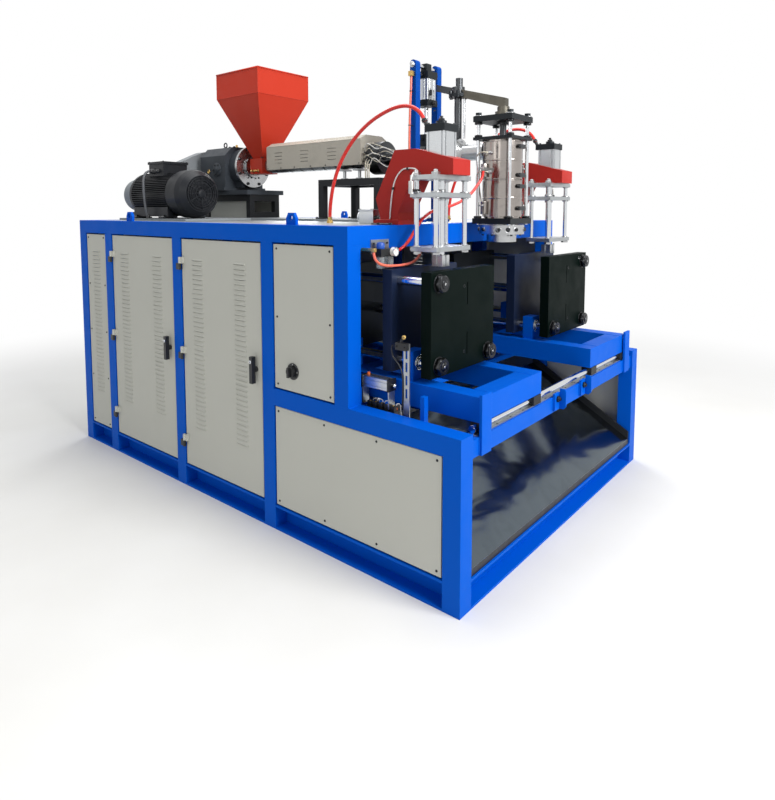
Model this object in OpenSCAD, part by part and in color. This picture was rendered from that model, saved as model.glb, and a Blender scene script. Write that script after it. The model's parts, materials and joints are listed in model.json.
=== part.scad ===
/* [Frame] */
// Square tube that the frame is welded from
tube = 80; // [70:2:90]
// Height of the base channel
skid_height = 120; // [100:5:140]
// Height of the tall cabinet over the floor
cabinet_height = 1450; // [1430:10:1600]
// Height of the low clamp bed over the floor
bed_height = 685; // [665:5:695]
// Width over both side faces
width = 1940; // [1920:10:2200]
// Clear width of the bay with the fixed louvred panel
end_bay = 255; // [200:5:400]
// Clear width of the left door bay
left_door_bay = 676; // [620:4:800]
// Clear width of the right door bay
right_door_bay = 672; // [620:4:800]
// Clear width of the bay under the control panel
control_bay = 397; // [380:1:500]
// Reach of the low bed past the tall cabinet
bed_reach = 560; // [555:5:640]
// Gap that each weld leaves between two tubes
weld = 0.2; // [0.1:0.1:0.4]
// Thickness of the channel web and flanges
channel_wall = 10; // [6:1:14]
// Thickness of the deck plate
deck_wall = 6; // [4:1:8]

/* [Panels and doors] */
// Thickness of the sheet metal
sheet = 3; // [2:0.5:4]
// Clearance round a panel or door in its bay
panel_gap = 8; // [5:1:10]
// Depth of the folded edge of a panel or door
panel_depth = 25; // [20:1:35]
// Setback of a panel from the face of the frame
panel_setback = 4; // [2:1:8]
// Length of one louvre
louvre_length = 90; // [70:2:110]
// Height of one louvre hood
louvre_height = 12; // [9:1:14]
// Depth that a louvre hood stands proud
louvre_depth = 3.5; // [2:0.5:3.5]
// Distance between two louvres of a column
louvre_pitch = 25; // [22:1:40]
// Diameter of a hinge knuckle
hinge_d = 16; // [12:1:20]
// Height of one hinge knuckle
hinge_h = 34; // [26:2:44]
// Diameter of a hinge pin
hinge_pin_d = 8; // [6:1:10]
// Running clearance of a pin in its bore, on the radius
pin_fit = 0.1; // [0.05:0.05:0.1]
// Height of a door latch plate
latch_h = 130; // [110:5:150]
// Diameter of the isolator knob
knob_d = 46; // [36:2:56]

/* [Extruder] */
// Height of the screw axis over the deck
screw_rise = 370; // [355:5:400]
// Diameter of the screw
screw_d = 60; // [50:5:65]
// Outer diameter of the barrel
barrel_d = 92; // [86:2:100]
// Thickness of the tilting platform
platform_wall = 12; // [8:1:16]
// Height of the gearbox stand
stand_h = 160; // [140:5:165]
// Length of the gearbox housing
gearbox_l = 305; // [260:5:330]
// Width of the gearbox housing
gearbox_w = 330; // [300:5:360]
// Height of the gearbox housing
gearbox_h = 305; // [280:5:330]
// Diameter of the gearbox output drum
drum_d = 290; // [270:5:300]
// Height of the motor shaft over its feet
motor_h = 155; // [150:1:170]
// Diameter of the motor over its fins
motor_d = 300; // [280:5:300]
// Length of the finned motor body
motor_l = 450; // [420:10:500]
// Distance of the motor axis from the screw axis
motor_offset = 570; // [540:10:600]
// Pitch diameter of the motor pulley
motor_pulley_d = 150; // [120:5:170]
// Pitch diameter of the gearbox pulley
gearbox_pulley_d = 260; // [220:5:280]
// Width of both pulleys
pulley_w = 56; // [50:2:60]
// Side of the hopper mouth
hopper_side = 440; // [380:10:480]
// Height of the upright hopper band
hopper_band = 165; // [120:5:200]
// Height of the tapered part of the hopper
hopper_taper = 402; // [350:2:450]
// Side of the hopper outlet
hopper_neck = 100; // [90:2:110]
// Gap between the end of the barrel cover and the barrel flange
cover_gap = 15; // [5:1:60]
// Width of the barrel cover
cover_w = 240; // [220:5:280]
// Height of the upright sides of the barrel cover
cover_h = 150; // [130:5:170]
// Lift of the roof of the barrel cover
cover_roof = 26; // [15:1:40]

/* [Die head] */
// Diameter of the heated head
head_d = 200; // [180:5:210]
// Side of the square head plates
head_plate = 218; // [210:2:240]
// Thickness of the top head plate
head_plate_t = 28; // [20:1:32]
// Diameter of the head tie rods
head_rod_d = 18; // [14:1:20]
// Diameter of the centring ring
ring_d = 226; // [210:2:240]
// Diameter of the die
die_d = 150; // [130:5:160]
// Drop from the screw axis to the die mouth
die_drop = 464; // [455:1:470]

/* [Head lift] */
// Side of the lift posts
lift_post = 40; // [36:2:60]
// Height of the lift posts over the deck
lift_post_h = 870; // [860:5:950]
// Clear space between the lift posts
lift_gap = 160; // [150:2:200]
// Side of the lift cylinder caps
lift_cap = 90; // [80:2:100]
// Diameter of the lift rod
lift_rod_d = 25; // [20:1:30]

/* [Clamp stations] */
// Distance from each side face to the middle of its station
station_inset = 425; // [410:1:430]
// Distance from the cabinet to the mould parting line
parting_reach = 170; // [165:1:185]
// Opening between the closed platens
mould_height = 156; // [140:2:170]
// Thickness of a platen
platen_t = 50; // [40:2:55]
// Width of a platen
platen_w = 500; // [460:10:510]
// Drop from the die mouth to the top of the platens
platen_drop = 92; // [86:1:110]
// Diameter of a tie bar
tie_d = 40; // [32:1:45]
// Distance of a tie bar from the platen centre
tie_offset = 195; // [180:5:200]
// Distance of a tie bar from the edge of the platen
tie_edge = 48; // [42:1:60]
// Stroke of each platen
clamp_stroke = 100; // [80:10:110]
// Width of a carriage
carriage_w = 520; // [500:5:530]
// Height of the carriage tube
carriage_h = 100; // [90:2:110]
// Width of the carriage tube
carriage_tube = 86; // [76:2:90]
// Diameter of a slide rail
rail_d = 30; // [25:1:34]
// Diameter of the clamp cylinder
clamp_cylinder_d = 160; // [140:5:180]

/* [Blow units] */
// Width of a blow arm
arm_w = 136; // [130:2:160]
// Side of the blow cylinder caps
blow_cap = 104; // [98:1:110]
// Height of the upper blow cylinder cap
blow_cap_t = 32; // [24:1:40]
// Length of the guide plates along the machine
guide_x = 142; // [136:2:160]
// Width of the guide plates across the machine
guide_y = 266; // [240:2:280]
// Diameter of the guide rods
guide_rod_d = 22; // [18:1:26]
// Diameter of the blow pin shaft
blow_shaft_d = 34; // [28:1:38]
// Side of the blow pin block
blow_block = 56; // [46:2:60]
// Stroke of the blow pin
blow_stroke = 80; // [60:5:90]

/* [Chute] */
// Rise of the chute per unit of run
chute_slope = 0.585; // [0.5:0.005:0.62]
// Thickness of the chute sheet
chute_wall = 3; // [2:0.5:4]

/* [Hidden] */
$fn = 48;
// Overlap of a cut past the face that it opens
over = 1;
// Clearance between parts of different bodies that lie near each other
clear = 0.3;

cabinet_length = 5 * tube + end_bay + left_door_bay + right_door_bay + control_bay;
length = cabinet_length + bed_reach;
x_rear = -length / 2;
x_front = length / 2;
x_cabinet = x_rear + cabinet_length;
y_side = width / 2;
y_in = y_side - tube;
station_y = y_side - station_inset;
screw_z = cabinet_height + screw_rise;
die_z = screw_z - die_drop;
lift_post_top = cabinet_height + lift_post_h;
post_x = [
  x_rear,
  x_rear + tube + end_bay,
  x_rear + 2 * tube + end_bay + left_door_bay,
  x_rear + 3 * tube + end_bay + left_door_bay + right_door_bay,
  x_cabinet - tube
];
rail_low = cabinet_height - tube;
bed_rail_low = bed_height - tube;
line_x = x_cabinet + parting_reach;

module block(lo, hi) translate(lo) cube(hi - lo);
module rod_x(x0, x1, y, z, d) translate([x0, y, z]) rotate([0, 90, 0]) cylinder(h = x1 - x0, d = d);
module rod_y(y0, y1, x, z, d) translate([x, y0, z]) rotate([-90, 0, 0]) cylinder(h = y1 - y0, d = d);
module rod_z(z0, z1, x, y, d) translate([x, y, z0]) cylinder(h = z1 - z0, d = d);
module hex_x(x0, x1, y, z, d) translate([x0, y, z]) rotate([0, 90, 0])
  cylinder(h = x1 - x0, d = d, $fn = 6);
module hex_z(z0, z1, x, y, d) translate([x, y, z0]) cylinder(h = z1 - z0, d = d, $fn = 6);
// Outline drawn in X and Z, given its thickness from y0 to y1
module side_plate(y0, y1, points) translate([0, y1, 0]) rotate([90, 0, 0]) linear_extrude(y1 - y0)
  polygon(points);
// Outline drawn in Y and Z, given its thickness from x0 to x1
module cross_plate(x0, x1) translate([x0, 0, 0]) rotate([90, 0, 90]) linear_extrude(x1 - x0) children();
module both_sides() for (m = [0, 1]) mirror([0, m, 0]) children();

// Outward facing channel along X, drawn for the near side
module channel_x(x0, x1) {
  translate([x0, 0, 0]) rotate([90, 0, 90]) linear_extrude(x1 - x0) polygon([
    [-y_side, 0], [-y_in, 0], [-y_in, skid_height], [-y_side, skid_height],
    [-y_side, skid_height - channel_wall], [-y_in - channel_wall, skid_height - channel_wall],
    [-y_in - channel_wall, channel_wall], [-y_side, channel_wall]
  ]);
}
module base_skid() {
  color("#1565d8") {
    both_sides() {
      for (i = [0 : 2]) channel_x(post_x[i] + tube + weld, post_x[i + 1] - weld);
      channel_x(post_x[3] + tube + weld, x_front - tube - weld);
    }
    for (s = [-1, 1])
      translate([s > 0 ? x_front : x_rear, 0, 0]) rotate([90, 0, 0]) translate([0, 0, -y_in + weld])
        linear_extrude(2 * y_in - 2 * weld) polygon([
          [0, 0], [-s * tube, 0], [-s * tube, skid_height], [0, skid_height],
          [0, skid_height - channel_wall], [-s * (tube - channel_wall), skid_height - channel_wall],
          [-s * (tube - channel_wall), channel_wall], [0, channel_wall]
        ]);
    for (i = [1, 2, 3, 4])
      block([post_x[i], -y_in + weld, 0], [post_x[i] + tube, y_in - weld, skid_height]);
  }
}

// Depth of the post that stands behind the long lower panel
post_back = 48;
eye_x = [post_x[1] + tube + 165, x_cabinet - 380];
eye_t = 16;
module lifting_eye(x) {
  side_plate(-y_side + tube / 2 - eye_t / 2, -y_side + tube / 2 + eye_t / 2, [
    [x - 32, cabinet_height + weld], [x + 32, cabinet_height + weld], [x + 32, cabinet_height + 30],
    [x + 18, cabinet_height + 55], [x - 18, cabinet_height + 55], [x - 32, cabinet_height + 30]
  ]);
}
module cabinet_frame() {
  color("#1565d8") {
    both_sides() {
      for (i = [0 : 3]) block([post_x[i], -y_side, 0], [post_x[i] + tube, -y_in, rail_low - weld]);
      block([post_x[4], -y_side, bed_height + weld], [x_cabinet, -y_in, rail_low - weld]);
      block([post_x[4], -y_in - post_back, skid_height + weld], [x_cabinet, -y_in, bed_rail_low - weld]);
      block([x_rear, -y_side, rail_low], [x_cabinet, -y_in, cabinet_height]);
      for (x = eye_x) difference() {
        lifting_eye(x);
        rod_y(-y_side, -y_in, x, cabinet_height + 32, 24);
      }
    }
    for (x = [x_rear, x_cabinet - tube])
      block([x, -y_in + weld, rail_low - (x > 0 ? 20 : 0)], [x + tube, y_in - weld, cabinet_height]);
    for (x = [post_x[1], post_x[2], post_x[3]])
      block([x, -y_in + weld, rail_low], [x + tube, y_in - weld, cabinet_height - deck_wall - weld]);
  }
}

beam_z = bed_height - 103;
beam_top = beam_z + 70;
beam_w = 60;
beam_plate = 12;
stop_y = [-150, 155];
stop_w = 56;
module bed_frame() {
  color("#1565d8") {
    both_sides() {
      block([post_x[3] + tube + weld, -y_side, bed_rail_low], [x_front, -y_in, bed_height]);
      block([x_front - tube, -y_side, 0], [x_front, -y_in, bed_rail_low - weld]);
      block([x_cabinet + weld, -y_in + weld, bed_rail_low],
        [x_front - tube - weld, -y_in + tube, bed_rail_low + 8]);
    }
    block([x_front - beam_plate - beam_w, -y_in + weld, beam_z],
      [x_front - beam_plate, y_in - weld, beam_top]);
    for (s = [-1, 1])
      block([x_front - beam_plate + weld, s * 790 - 36, beam_z], [x_front, s * 790 + 36, beam_top + 165]);
    for (y = stop_y) difference() {
      block([x_front - beam_plate + weld, y - stop_w / 2, beam_z + 10],
        [x_front, y + stop_w / 2, beam_top + 18]);
      rod_x(x_front - 2 * beam_plate, x_front + over, y, beam_top - 8, 14);
    }
    block([rail_rear_x - 45, -y_in + weld, rail_z - rail_d / 2 - rail_base - tube],
      [rail_rear_x + 45, y_in - weld, rail_z - rail_d / 2 - rail_base - weld]);
  }
}

// Place of the glands through which the air hoses leave the deck
gland_x = post_x[3] + 35;
module deck_plate() {
  color("#b9bcbb") block([x_rear + tube + weld, -y_in + weld, cabinet_height - deck_wall],
    [x_cabinet - tube - weld, y_in - weld, cabinet_height]);
  color("#c9a24a") both_sides() {
    hex_z(cabinet_height + weld, cabinet_height + 14, gland_x, -station_y, 34);
    rod_z(cabinet_height + 14, cabinet_height + 30, gland_x, -station_y, 22);
  }
}

// Louvre hood drawn on the near face, with its slit below
module louvre(x, z, y) {
  translate([x - louvre_length / 2, y, z]) rotate([90, 0, 90]) linear_extrude(louvre_length)
    polygon([[0, 0], [-louvre_depth, 1], [-louvre_depth, 3], [0, louvre_height]]);
}
module louvre_slit(x, z, y) {
  block([x - louvre_length / 2 + 3, y - louvre_depth - over, z + 1.2],
    [x + louvre_length / 2 - 3, y + sheet + over, z + 3.2]);
}
// Folded tray that fills a bay of the near side
module tray(x0, x1, z0, z1, columns, count) {
  y0 = -y_side + panel_setback;
  first = (z0 + z1) / 2 - (count - 1) * louvre_pitch / 2 + 60;
  difference() {
    union() {
      block([x0, y0, z0], [x1, y0 + panel_depth, z1]);
      for (c = columns) for (i = [0 : 1 : count - 1])
        louvre(c, first + i * louvre_pitch - louvre_height / 2, y0);
    }
    block([x0 + sheet, y0 + sheet, z0 + sheet], [x1 - sheet, y0 + panel_depth + over, z1 - sheet]);
    for (c = columns) for (i = [0 : 1 : count - 1])
      louvre_slit(c, first + i * louvre_pitch - louvre_height / 2, y0);
  }
}
// Tabs that screw a fixed panel to the posts beside it
tab_h = 30;
module panel_tabs(x0, x1, z0, z1) {
  y1 = -y_side + panel_setback + panel_depth;
  for (z = [z0 + 40, z1 - 40 - tab_h]) {
    block([x0 - panel_gap + weld, y1 - sheet, z], [x0 + 14, y1, z + tab_h]);
    block([x1 - 14, y1 - sheet, z], [x1 + panel_gap - weld, y1, z + tab_h]);
  }
}
module fixed_panel(x0, x1, z0, z1, columns, count) {
  tray(x0, x1, z0, z1, columns, count);
  panel_tabs(x0, x1, z0, z1);
}
tall_low = skid_height + panel_gap;
tall_high = rail_low - panel_gap;
louvre_count = 37;
split_z = bed_height + panel_gap;
module end_panel() {
  x1 = x_rear + panel_setback + panel_depth;
  both_sides() for (z = [tall_low + 40, tall_high - 40 - tab_h])
    block([x1 - sheet, -y_in + weld, z], [x1, -y_in + panel_gap + 14, z + tab_h]);
  difference() {
    block([x_rear + panel_setback, -y_in + panel_gap, tall_low],
      [x_rear + panel_setback + panel_depth, y_in - panel_gap, tall_high]);
    block([x_rear + panel_setback + sheet, -y_in + panel_gap + sheet, tall_low + sheet],
      [x_rear + panel_setback + panel_depth + over, y_in - panel_gap - sheet, tall_high - sheet]);
  }
}
// Reach of every handle and knob past its panel, the same on both sides
reach_out = 36;
pull_bar = 6;
pull_x = [post_x[2] - 130, post_x[3] - 130];
module pull_handle(x) {
  z = (tall_low + tall_high) / 2;
  y = y_side - panel_setback;
  for (s = [-1, 1]) rod_y(y + weld, y + reach_out - pull_bar, x, z + s * 60, 10);
  rod_z(z - 70, z + 70, x, y + reach_out - pull_bar, 2 * pull_bar);
}
module side_panels() {
  color("#b4b1a6") {
    fixed_panel(post_x[0] + tube + panel_gap, post_x[1] - panel_gap, tall_low, tall_high,
      [post_x[0] + tube + end_bay / 2], louvre_count);
    fixed_panel(post_x[3] + tube + panel_gap, post_x[4] - panel_gap, split_z, tall_high, [], 0);
    fixed_panel(post_x[3] + tube + panel_gap, x_front - tube - panel_gap, tall_low,
      bed_rail_low - panel_gap + 4, [], 0);
    mirror([0, 1, 0]) {
      fixed_panel(post_x[0] + tube + panel_gap, post_x[1] - panel_gap, tall_low, tall_high,
        [post_x[0] + tube + end_bay / 2], louvre_count);
      fixed_panel(post_x[1] + tube + panel_gap, post_x[2] - panel_gap, tall_low, tall_high,
        door_columns(post_x[1] + tube, left_door_bay), louvre_count);
      fixed_panel(post_x[2] + tube + panel_gap, post_x[3] - panel_gap, tall_low, tall_high,
        door_columns(post_x[2] + tube, right_door_bay), louvre_count);
      fixed_panel(post_x[3] + tube + panel_gap, post_x[4] - panel_gap, split_z, tall_high, [], 0);
      fixed_panel(post_x[3] + tube + panel_gap, x_front - tube - panel_gap, tall_low,
        bed_rail_low - panel_gap + 4, [], 0);
    }
    for (x = pull_x) pull_handle(x);
    end_panel();
  }
}
function door_columns(x, bay) = [x + 0.22 * bay, x + 0.75 * bay];

// Hinge axis stands just outside the door and post faces
hinge_y = -y_side - hinge_d / 2 - clear;
hinge_z = [tall_low + 130, (tall_low + tall_high) / 2, tall_high - 130];
function hinge_x(i) = post_x[i] + tube + panel_gap / 2;
module door_knuckle(i, z) {
  difference() {
    union() {
      rod_z(z + clear, z + hinge_h, hinge_x(i), hinge_y, hinge_d);
      block([hinge_x(i), hinge_y - 2, z + clear],
        [hinge_x(i) + panel_gap / 2 + 22, hinge_y + 2, z + hinge_h]);
      block([hinge_x(i) + panel_gap / 2 + 8, hinge_y - 2, z + clear],
        [hinge_x(i) + panel_gap / 2 + 22, -y_side + panel_setback + sheet / 2, z + hinge_h]);
    }
    rod_z(z - over, z + hinge_h + over, hinge_x(i), hinge_y, hinge_pin_d + 2 * pin_fit);
  }
}
module post_knuckle(i, z) {
  rod_z(z - hinge_h, z, hinge_x(i), hinge_y, hinge_d);
  rod_z(z - over, z + hinge_h - 2, hinge_x(i), hinge_y, hinge_pin_d);
  block([hinge_x(i) - panel_gap / 2 - 30, hinge_y - 2, z - hinge_h], [hinge_x(i), hinge_y + 2, z]);
  block([hinge_x(i) - panel_gap / 2 - 30, hinge_y - 2, z - hinge_h],
    [hinge_x(i) - panel_gap / 2 - 8, -y_side - weld, z]);
}
latch_z = (tall_low + tall_high) / 2 + 10;
function latch_x(i) = post_x[i + 1] - panel_gap - 42;
module door(i) {
  difference() {
    union() {
      tray(post_x[i] + tube + panel_gap, post_x[i + 1] - panel_gap, tall_low, tall_high,
        door_columns(post_x[i] + tube, post_x[i + 1] - post_x[i] - tube), louvre_count);
      for (z = hinge_z) door_knuckle(i, z);
    }
    rod_y(-y_side, -y_in, latch_x(i), latch_z, 20);
  }
}
module door_left() color("#b4b1a6") door(1);
module door_right() color("#b4b1a6") door(2);
module hinge_pins() color("#202224") {
  for (i = [1, 2]) for (z = hinge_z) post_knuckle(i, z);
}
// Quarter turn latch with a swing grip and a cam behind the sheet
module latch(i) color("#202224") {
  y = -y_side + panel_setback;
  rod_y(y - 8, y + sheet + 6, latch_x(i), latch_z, 20 - 2 * pin_fit);
  rod_y(y - 14, y - clear, latch_x(i), latch_z, 28);
  block([latch_x(i) - 11, y - reach_out, latch_z - latch_h / 2],
    [latch_x(i) + 11, y - 14, latch_z + latch_h / 2]);
  block([latch_x(i) - 12, y + sheet + 6, latch_z - 12], [latch_x(i) + 34, y + sheet + 10, latch_z + 12]);
}
module latch_left() latch(1);
module latch_right() latch(2);

knob_x = post_x[3] + tube + 132;
knob_z = bed_height + 102;
module isolator_knob() color("#1b1c1e") {
  y = -y_side + panel_setback;
  rod_y(y - 24, y - clear, knob_x, knob_z, knob_d);
  block([knob_x - 6, y - reach_out, knob_z - knob_d / 2], [knob_x + 6, y - 24, knob_z + knob_d / 2]);
}

// Slide rails of the carriages, at the front beam and inside the cabinet
rail_base = 11;
rail_z = beam_top + rail_base + rail_d / 2;
rail_front_x = x_front - beam_plate - beam_w / 2;
rail_rear_x = x_cabinet - 360;
rail_half = station_y + carriage_w / 2 + 25;
rail_neck = 14;
module slide_rails() {
  color("#d7dadc") for (x = [rail_front_x, rail_rear_x]) {
    rod_y(-rail_half, rail_half, x, rail_z, rail_d);
    block([x - rail_neck / 2, -rail_half, rail_z - rail_d / 2 - rail_base],
      [x + rail_neck / 2, rail_half, rail_z]);
    block([x - rail_d / 2 - 6, -rail_half, rail_z - rail_d / 2 - rail_base],
      [x + rail_d / 2 + 6, rail_half, rail_z - rail_d / 2 - rail_base + 6]);
  }
}

carriage_z = rail_z + rail_d / 2 + 6;
carriage_top = carriage_z + carriage_h;
carriage_front = x_front - beam_plate - 7;
carriage_rear = rail_rear_x - 70;
bearing_w = 54;
bearing_l = 70;
bracket_t = 56;
bracket_w = 84;
platen_z = carriage_top + 25;
platen_h = die_z - platen_drop - platen_z;
tie_low_z = platen_z + tie_edge;
tie_high_z = platen_z + platen_h - tie_edge;
bracket_top = tie_low_z + tie_d / 2 + 32;
// Bearing block that wraps a supported rail and is open below
module rail_bearing(x, y) {
  difference() {
    block([x - bearing_w / 2, y - bearing_l / 2, rail_z - rail_d / 2 - 4],
      [x + bearing_w / 2, y + bearing_l / 2, carriage_z - weld]);
    rod_y(y - bearing_l, y + bearing_l, x, rail_z, rail_d + 2 * pin_fit);
    block([x - rail_neck / 2 - 3, y - bearing_l, rail_z - rail_d],
      [x + rail_neck / 2 + 3, y + bearing_l, rail_z]);
  }
}
module tie_bracket(x, y) {
  difference() {
    block([x - bracket_t / 2, y - bracket_w / 2, carriage_top + weld],
      [x + bracket_t / 2, y + bracket_w / 2, bracket_top]);
    rod_x(x - bracket_t, x + bracket_t, y, tie_low_z, tie_d + 2 * pin_fit);
  }
}
yoke_x = x_cabinet - 360;
yoke_t = 40;
bracket_rear_x = yoke_x + yoke_t + clamp_stroke + bracket_t / 2 + 4;
shuttle_x = [bracket_rear_x - 26, bracket_rear_x + 26];
shuttle_z = carriage_z - 50;
shuttle_rod_d = 20;
shuttle_bore = 50;
shuttle_l = station_y + 70;
shuttle_gap = 14;
// Carriage drawn for the near station; the far one is its mirror image with its own rod line
module carriage(k) {
  y0 = -station_y - carriage_w / 2;
  y1 = -station_y + carriage_w / 2;
  for (y = [y0, y1 - carriage_tube])
    block([carriage_rear, y, carriage_z], [carriage_front, y + carriage_tube, carriage_top]);
  for (x = [carriage_rear, bracket_rear_x - carriage_tube / 2, carriage_front - carriage_tube])
    block([x, y0 + carriage_tube + weld, carriage_z],
      [x + carriage_tube, y1 - carriage_tube - weld,
      carriage_top - (x < line_x && x > carriage_rear ? 30 : 0)]);
  for (x = [rail_front_x, rail_rear_x]) for (y = [y0 + carriage_tube / 2, y1 - carriage_tube / 2])
    rail_bearing(x, y);
  for (x = [line_x, bracket_rear_x]) for (s = [-1, 1]) tie_bracket(x, -station_y + s * tie_offset);
  block([shuttle_x[k] - 16, -station_y - 12, shuttle_z - 25],
    [shuttle_x[k] + 16, -station_y, carriage_z - weld]);
  rod_y(-station_y + weld, shuttle_gap + 15, shuttle_x[k], shuttle_z, shuttle_rod_d);
  rod_y(shuttle_gap + 14, shuttle_gap + 26, shuttle_x[k], shuttle_z, shuttle_bore - 2 * clear);
}
module carriage_near() color("#1668d6") carriage(0);
module carriage_far() color("#1668d6") mirror([0, 1, 0]) carriage(1);
module shuttle_cylinders() {
  color("#c9ccce") for (k = [0, 1]) mirror([0, k, 0]) {
    difference() {
      union() {
        rod_y(shuttle_gap, shuttle_gap + shuttle_l, shuttle_x[k], shuttle_z, shuttle_bore + 8);
        for (y = [shuttle_gap, shuttle_gap + shuttle_l - 30])
          block([shuttle_x[k] - 34, y, shuttle_z - 34], [shuttle_x[k] + 34, y + 30, shuttle_z + 34]);
      }
      rod_y(shuttle_gap + 10, shuttle_gap + shuttle_l - 10, shuttle_x[k], shuttle_z, shuttle_bore);
      rod_y(shuttle_gap - over, shuttle_gap + 30, shuttle_x[k], shuttle_z, shuttle_rod_d + 2 * pin_fit);
    }
  }
  color("#1565d8") block([shuttle_x[0] - 40, -y_in + weld, shuttle_z - 34 - 30],
    [shuttle_x[1] + 40, y_in - weld, shuttle_z - 34 - weld]);
}

rear_x = line_x - mould_height / 2;
front_x = line_x + mould_height / 2;
clamp_z = platen_z + platen_h / 2;
clamp_rod_d = 50;
cylinder_l = 2 * clamp_stroke + 40;
nut_d = 66;
nut_t = 30;
// Tie bars stand at both lower corners and at the outer upper corner
tie_places = [[-tie_offset, tie_low_z], [tie_offset, tie_low_z], [-tie_offset, tie_high_z]];
module platen(x0) {
  difference() {
    block([x0, -station_y - platen_w / 2, platen_z],
      [x0 + platen_t, -station_y + platen_w / 2, platen_z + platen_h]);
    for (p = tie_places) rod_x(x0 - over, x0 + platen_t + over, -station_y + p[0], p[1],
      tie_d + 2 * pin_fit);
  }
}
module front_platen() {
  difference() {
    platen(front_x);
    for (z = [platen_z + 60, platen_z + platen_h - 160])
      block([front_x + platen_t - 6, -station_y + 20, z],
        [front_x + platen_t + over, -station_y + 26, z + 100]);
  }
}
module front_platen_near() color("#14201c") front_platen();
module front_platen_far() color("#14201c") mirror([0, 1, 0]) front_platen();
module rear_platen() {
  color("#16233f") platen(rear_x - platen_t);
  color("#d0d3d5") {
    rod_x(yoke_x - 10, rear_x - platen_t - 32 - weld, -station_y, clamp_z, clamp_rod_d);
    rod_x(rear_x - platen_t - 32, rear_x - platen_t - weld, -station_y, clamp_z, 110);
  }
}
module rear_platen_near() rear_platen();
module rear_platen_far() mirror([0, 1, 0]) rear_platen();
module clamp_frame() {
  color("#cfd2d4") for (p = tie_places) {
    rod_x(yoke_x - 34, front_x + platen_t + 26, -station_y + p[0], p[1], tie_d);
  }
  color("#232629") for (p = tie_places) {
    difference() {
      rod_x(front_x + platen_t + weld, front_x + platen_t + nut_t, -station_y + p[0], p[1], nut_d);
      rod_x(front_x, front_x + platen_t + 26 + weld, -station_y + p[0], p[1], tie_d + 2 * weld);
    }
  }
  color("#2a2e33") difference() {
    block([yoke_x, -station_y - 240, platen_z + 10],
      [yoke_x + yoke_t, -station_y + 240, platen_z + platen_h - 10]);
    for (p = tie_places) rod_x(yoke_x - over, yoke_x + yoke_t + over, -station_y + p[0], p[1],
      tie_d + 2 * weld);
    rod_x(yoke_x - over, yoke_x + yoke_t + over, -station_y, clamp_z, clamp_rod_d + 2 * pin_fit);
  }
  color("#3a4046") difference() {
    union() {
      rod_x(yoke_x - cylinder_l, yoke_x - weld, -station_y, clamp_z, clamp_cylinder_d);
      for (x = [yoke_x - cylinder_l, yoke_x - weld - 36])
        block([x, -station_y - 90, clamp_z - 90], [x + 36, -station_y + 90, clamp_z + 90]);
    }
    rod_x(yoke_x - cylinder_l + 16, yoke_x + over, -station_y, clamp_z, clamp_rod_d + 2 * pin_fit);
  }
}
module clamp_frame_near() clamp_frame();
module clamp_frame_far() mirror([0, 1, 0]) clamp_frame();

chute_front = x_front - 8;
chute_low = skid_height + 30;
chute_top = bed_rail_low - 90;
chute_edge = 12;
chute_leg = 30;
chute_rear = chute_front - (chute_top - chute_low) / chute_slope;
chute_half = y_in - 6;
module chute() {
  color("#a9adb0") side_plate(-chute_half, chute_half, [
    [chute_front, chute_low], [chute_rear, chute_top], [chute_rear, chute_top + chute_wall],
      [chute_front, chute_low + chute_wall]
  ]);
  color("#222426") both_sides() side_plate(-chute_half, -chute_half + 10, [
    [chute_front, chute_low + chute_wall + weld], [chute_rear, chute_top + chute_wall + weld],
    [chute_rear, chute_top + 45], [chute_front, chute_low + 45]
  ]);
  color("#222426") block([chute_front - chute_edge, -chute_half, skid_height + weld],
    [chute_front, chute_half, chute_low - clear]);
  color("#1565d8") both_sides()
    block([chute_rear, -chute_half, skid_height],
      [chute_rear + chute_leg, -chute_half + chute_leg, chute_top - chute_leg * chute_slope - clear]);
}

pulley_x = x_rear + 74;
motor_x0 = pulley_x + pulley_w / 2 + 72;
motor_x1 = motor_x0 + motor_l;
fan_l = 160;
// Platform that tilts about two pins at the motor end
pivot_x = x_rear + 42;
pivot_z = cabinet_height + 32;
pivot_d = 20;
platform_z = cabinet_height + clear;
platform_top = platform_z + platform_wall;
platform_rear = pivot_x + 18;
platform_front = post_x[3] + 60;
platform_near = -motor_offset - 160;
platform_far = 240;
platform_step = motor_x1 + fan_l + 64;
pivot_y = [platform_near + 110, platform_far - 110];
lug_t = 16;
module extruder_platform() {
  color("#9a9d9d") {
    block([platform_rear, -platform_far, platform_z], [platform_front, platform_far, platform_top]);
    block([platform_rear, platform_near, platform_z], [platform_step, -platform_far - weld, platform_top]);
    for (y = pivot_y) difference() {
      side_plate(y - lug_t / 2, y + lug_t / 2, [
        [platform_rear + 2, platform_top + weld], [platform_rear + 60, platform_top + weld],
        [pivot_x + 8, pivot_z + 18], [pivot_x - 18, pivot_z + 18], [pivot_x - 18, pivot_z - 12]
      ]);
      rod_y(y - lug_t, y + lug_t, pivot_x, pivot_z, pivot_d + 2 * pin_fit);
    }
  }
}
// Fixed cheeks and pins of the platform hinge, on the rear top rail
module platform_cheeks() {
  for (y = pivot_y) {
    for (s = [-1, 1]) side_plate(y + s * (lug_t / 2 + 8) - 6, y + s * (lug_t / 2 + 8) + 6, [
      [x_rear + 12, cabinet_height + weld], [x_rear + 57, cabinet_height + weld],
      [pivot_x + 18, pivot_z + 20], [pivot_x - 18, pivot_z + 20]
    ]);
    rod_y(y - lug_t / 2 - 18, y + lug_t / 2 + 18, pivot_x, pivot_z, pivot_d);
  }
}

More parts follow.
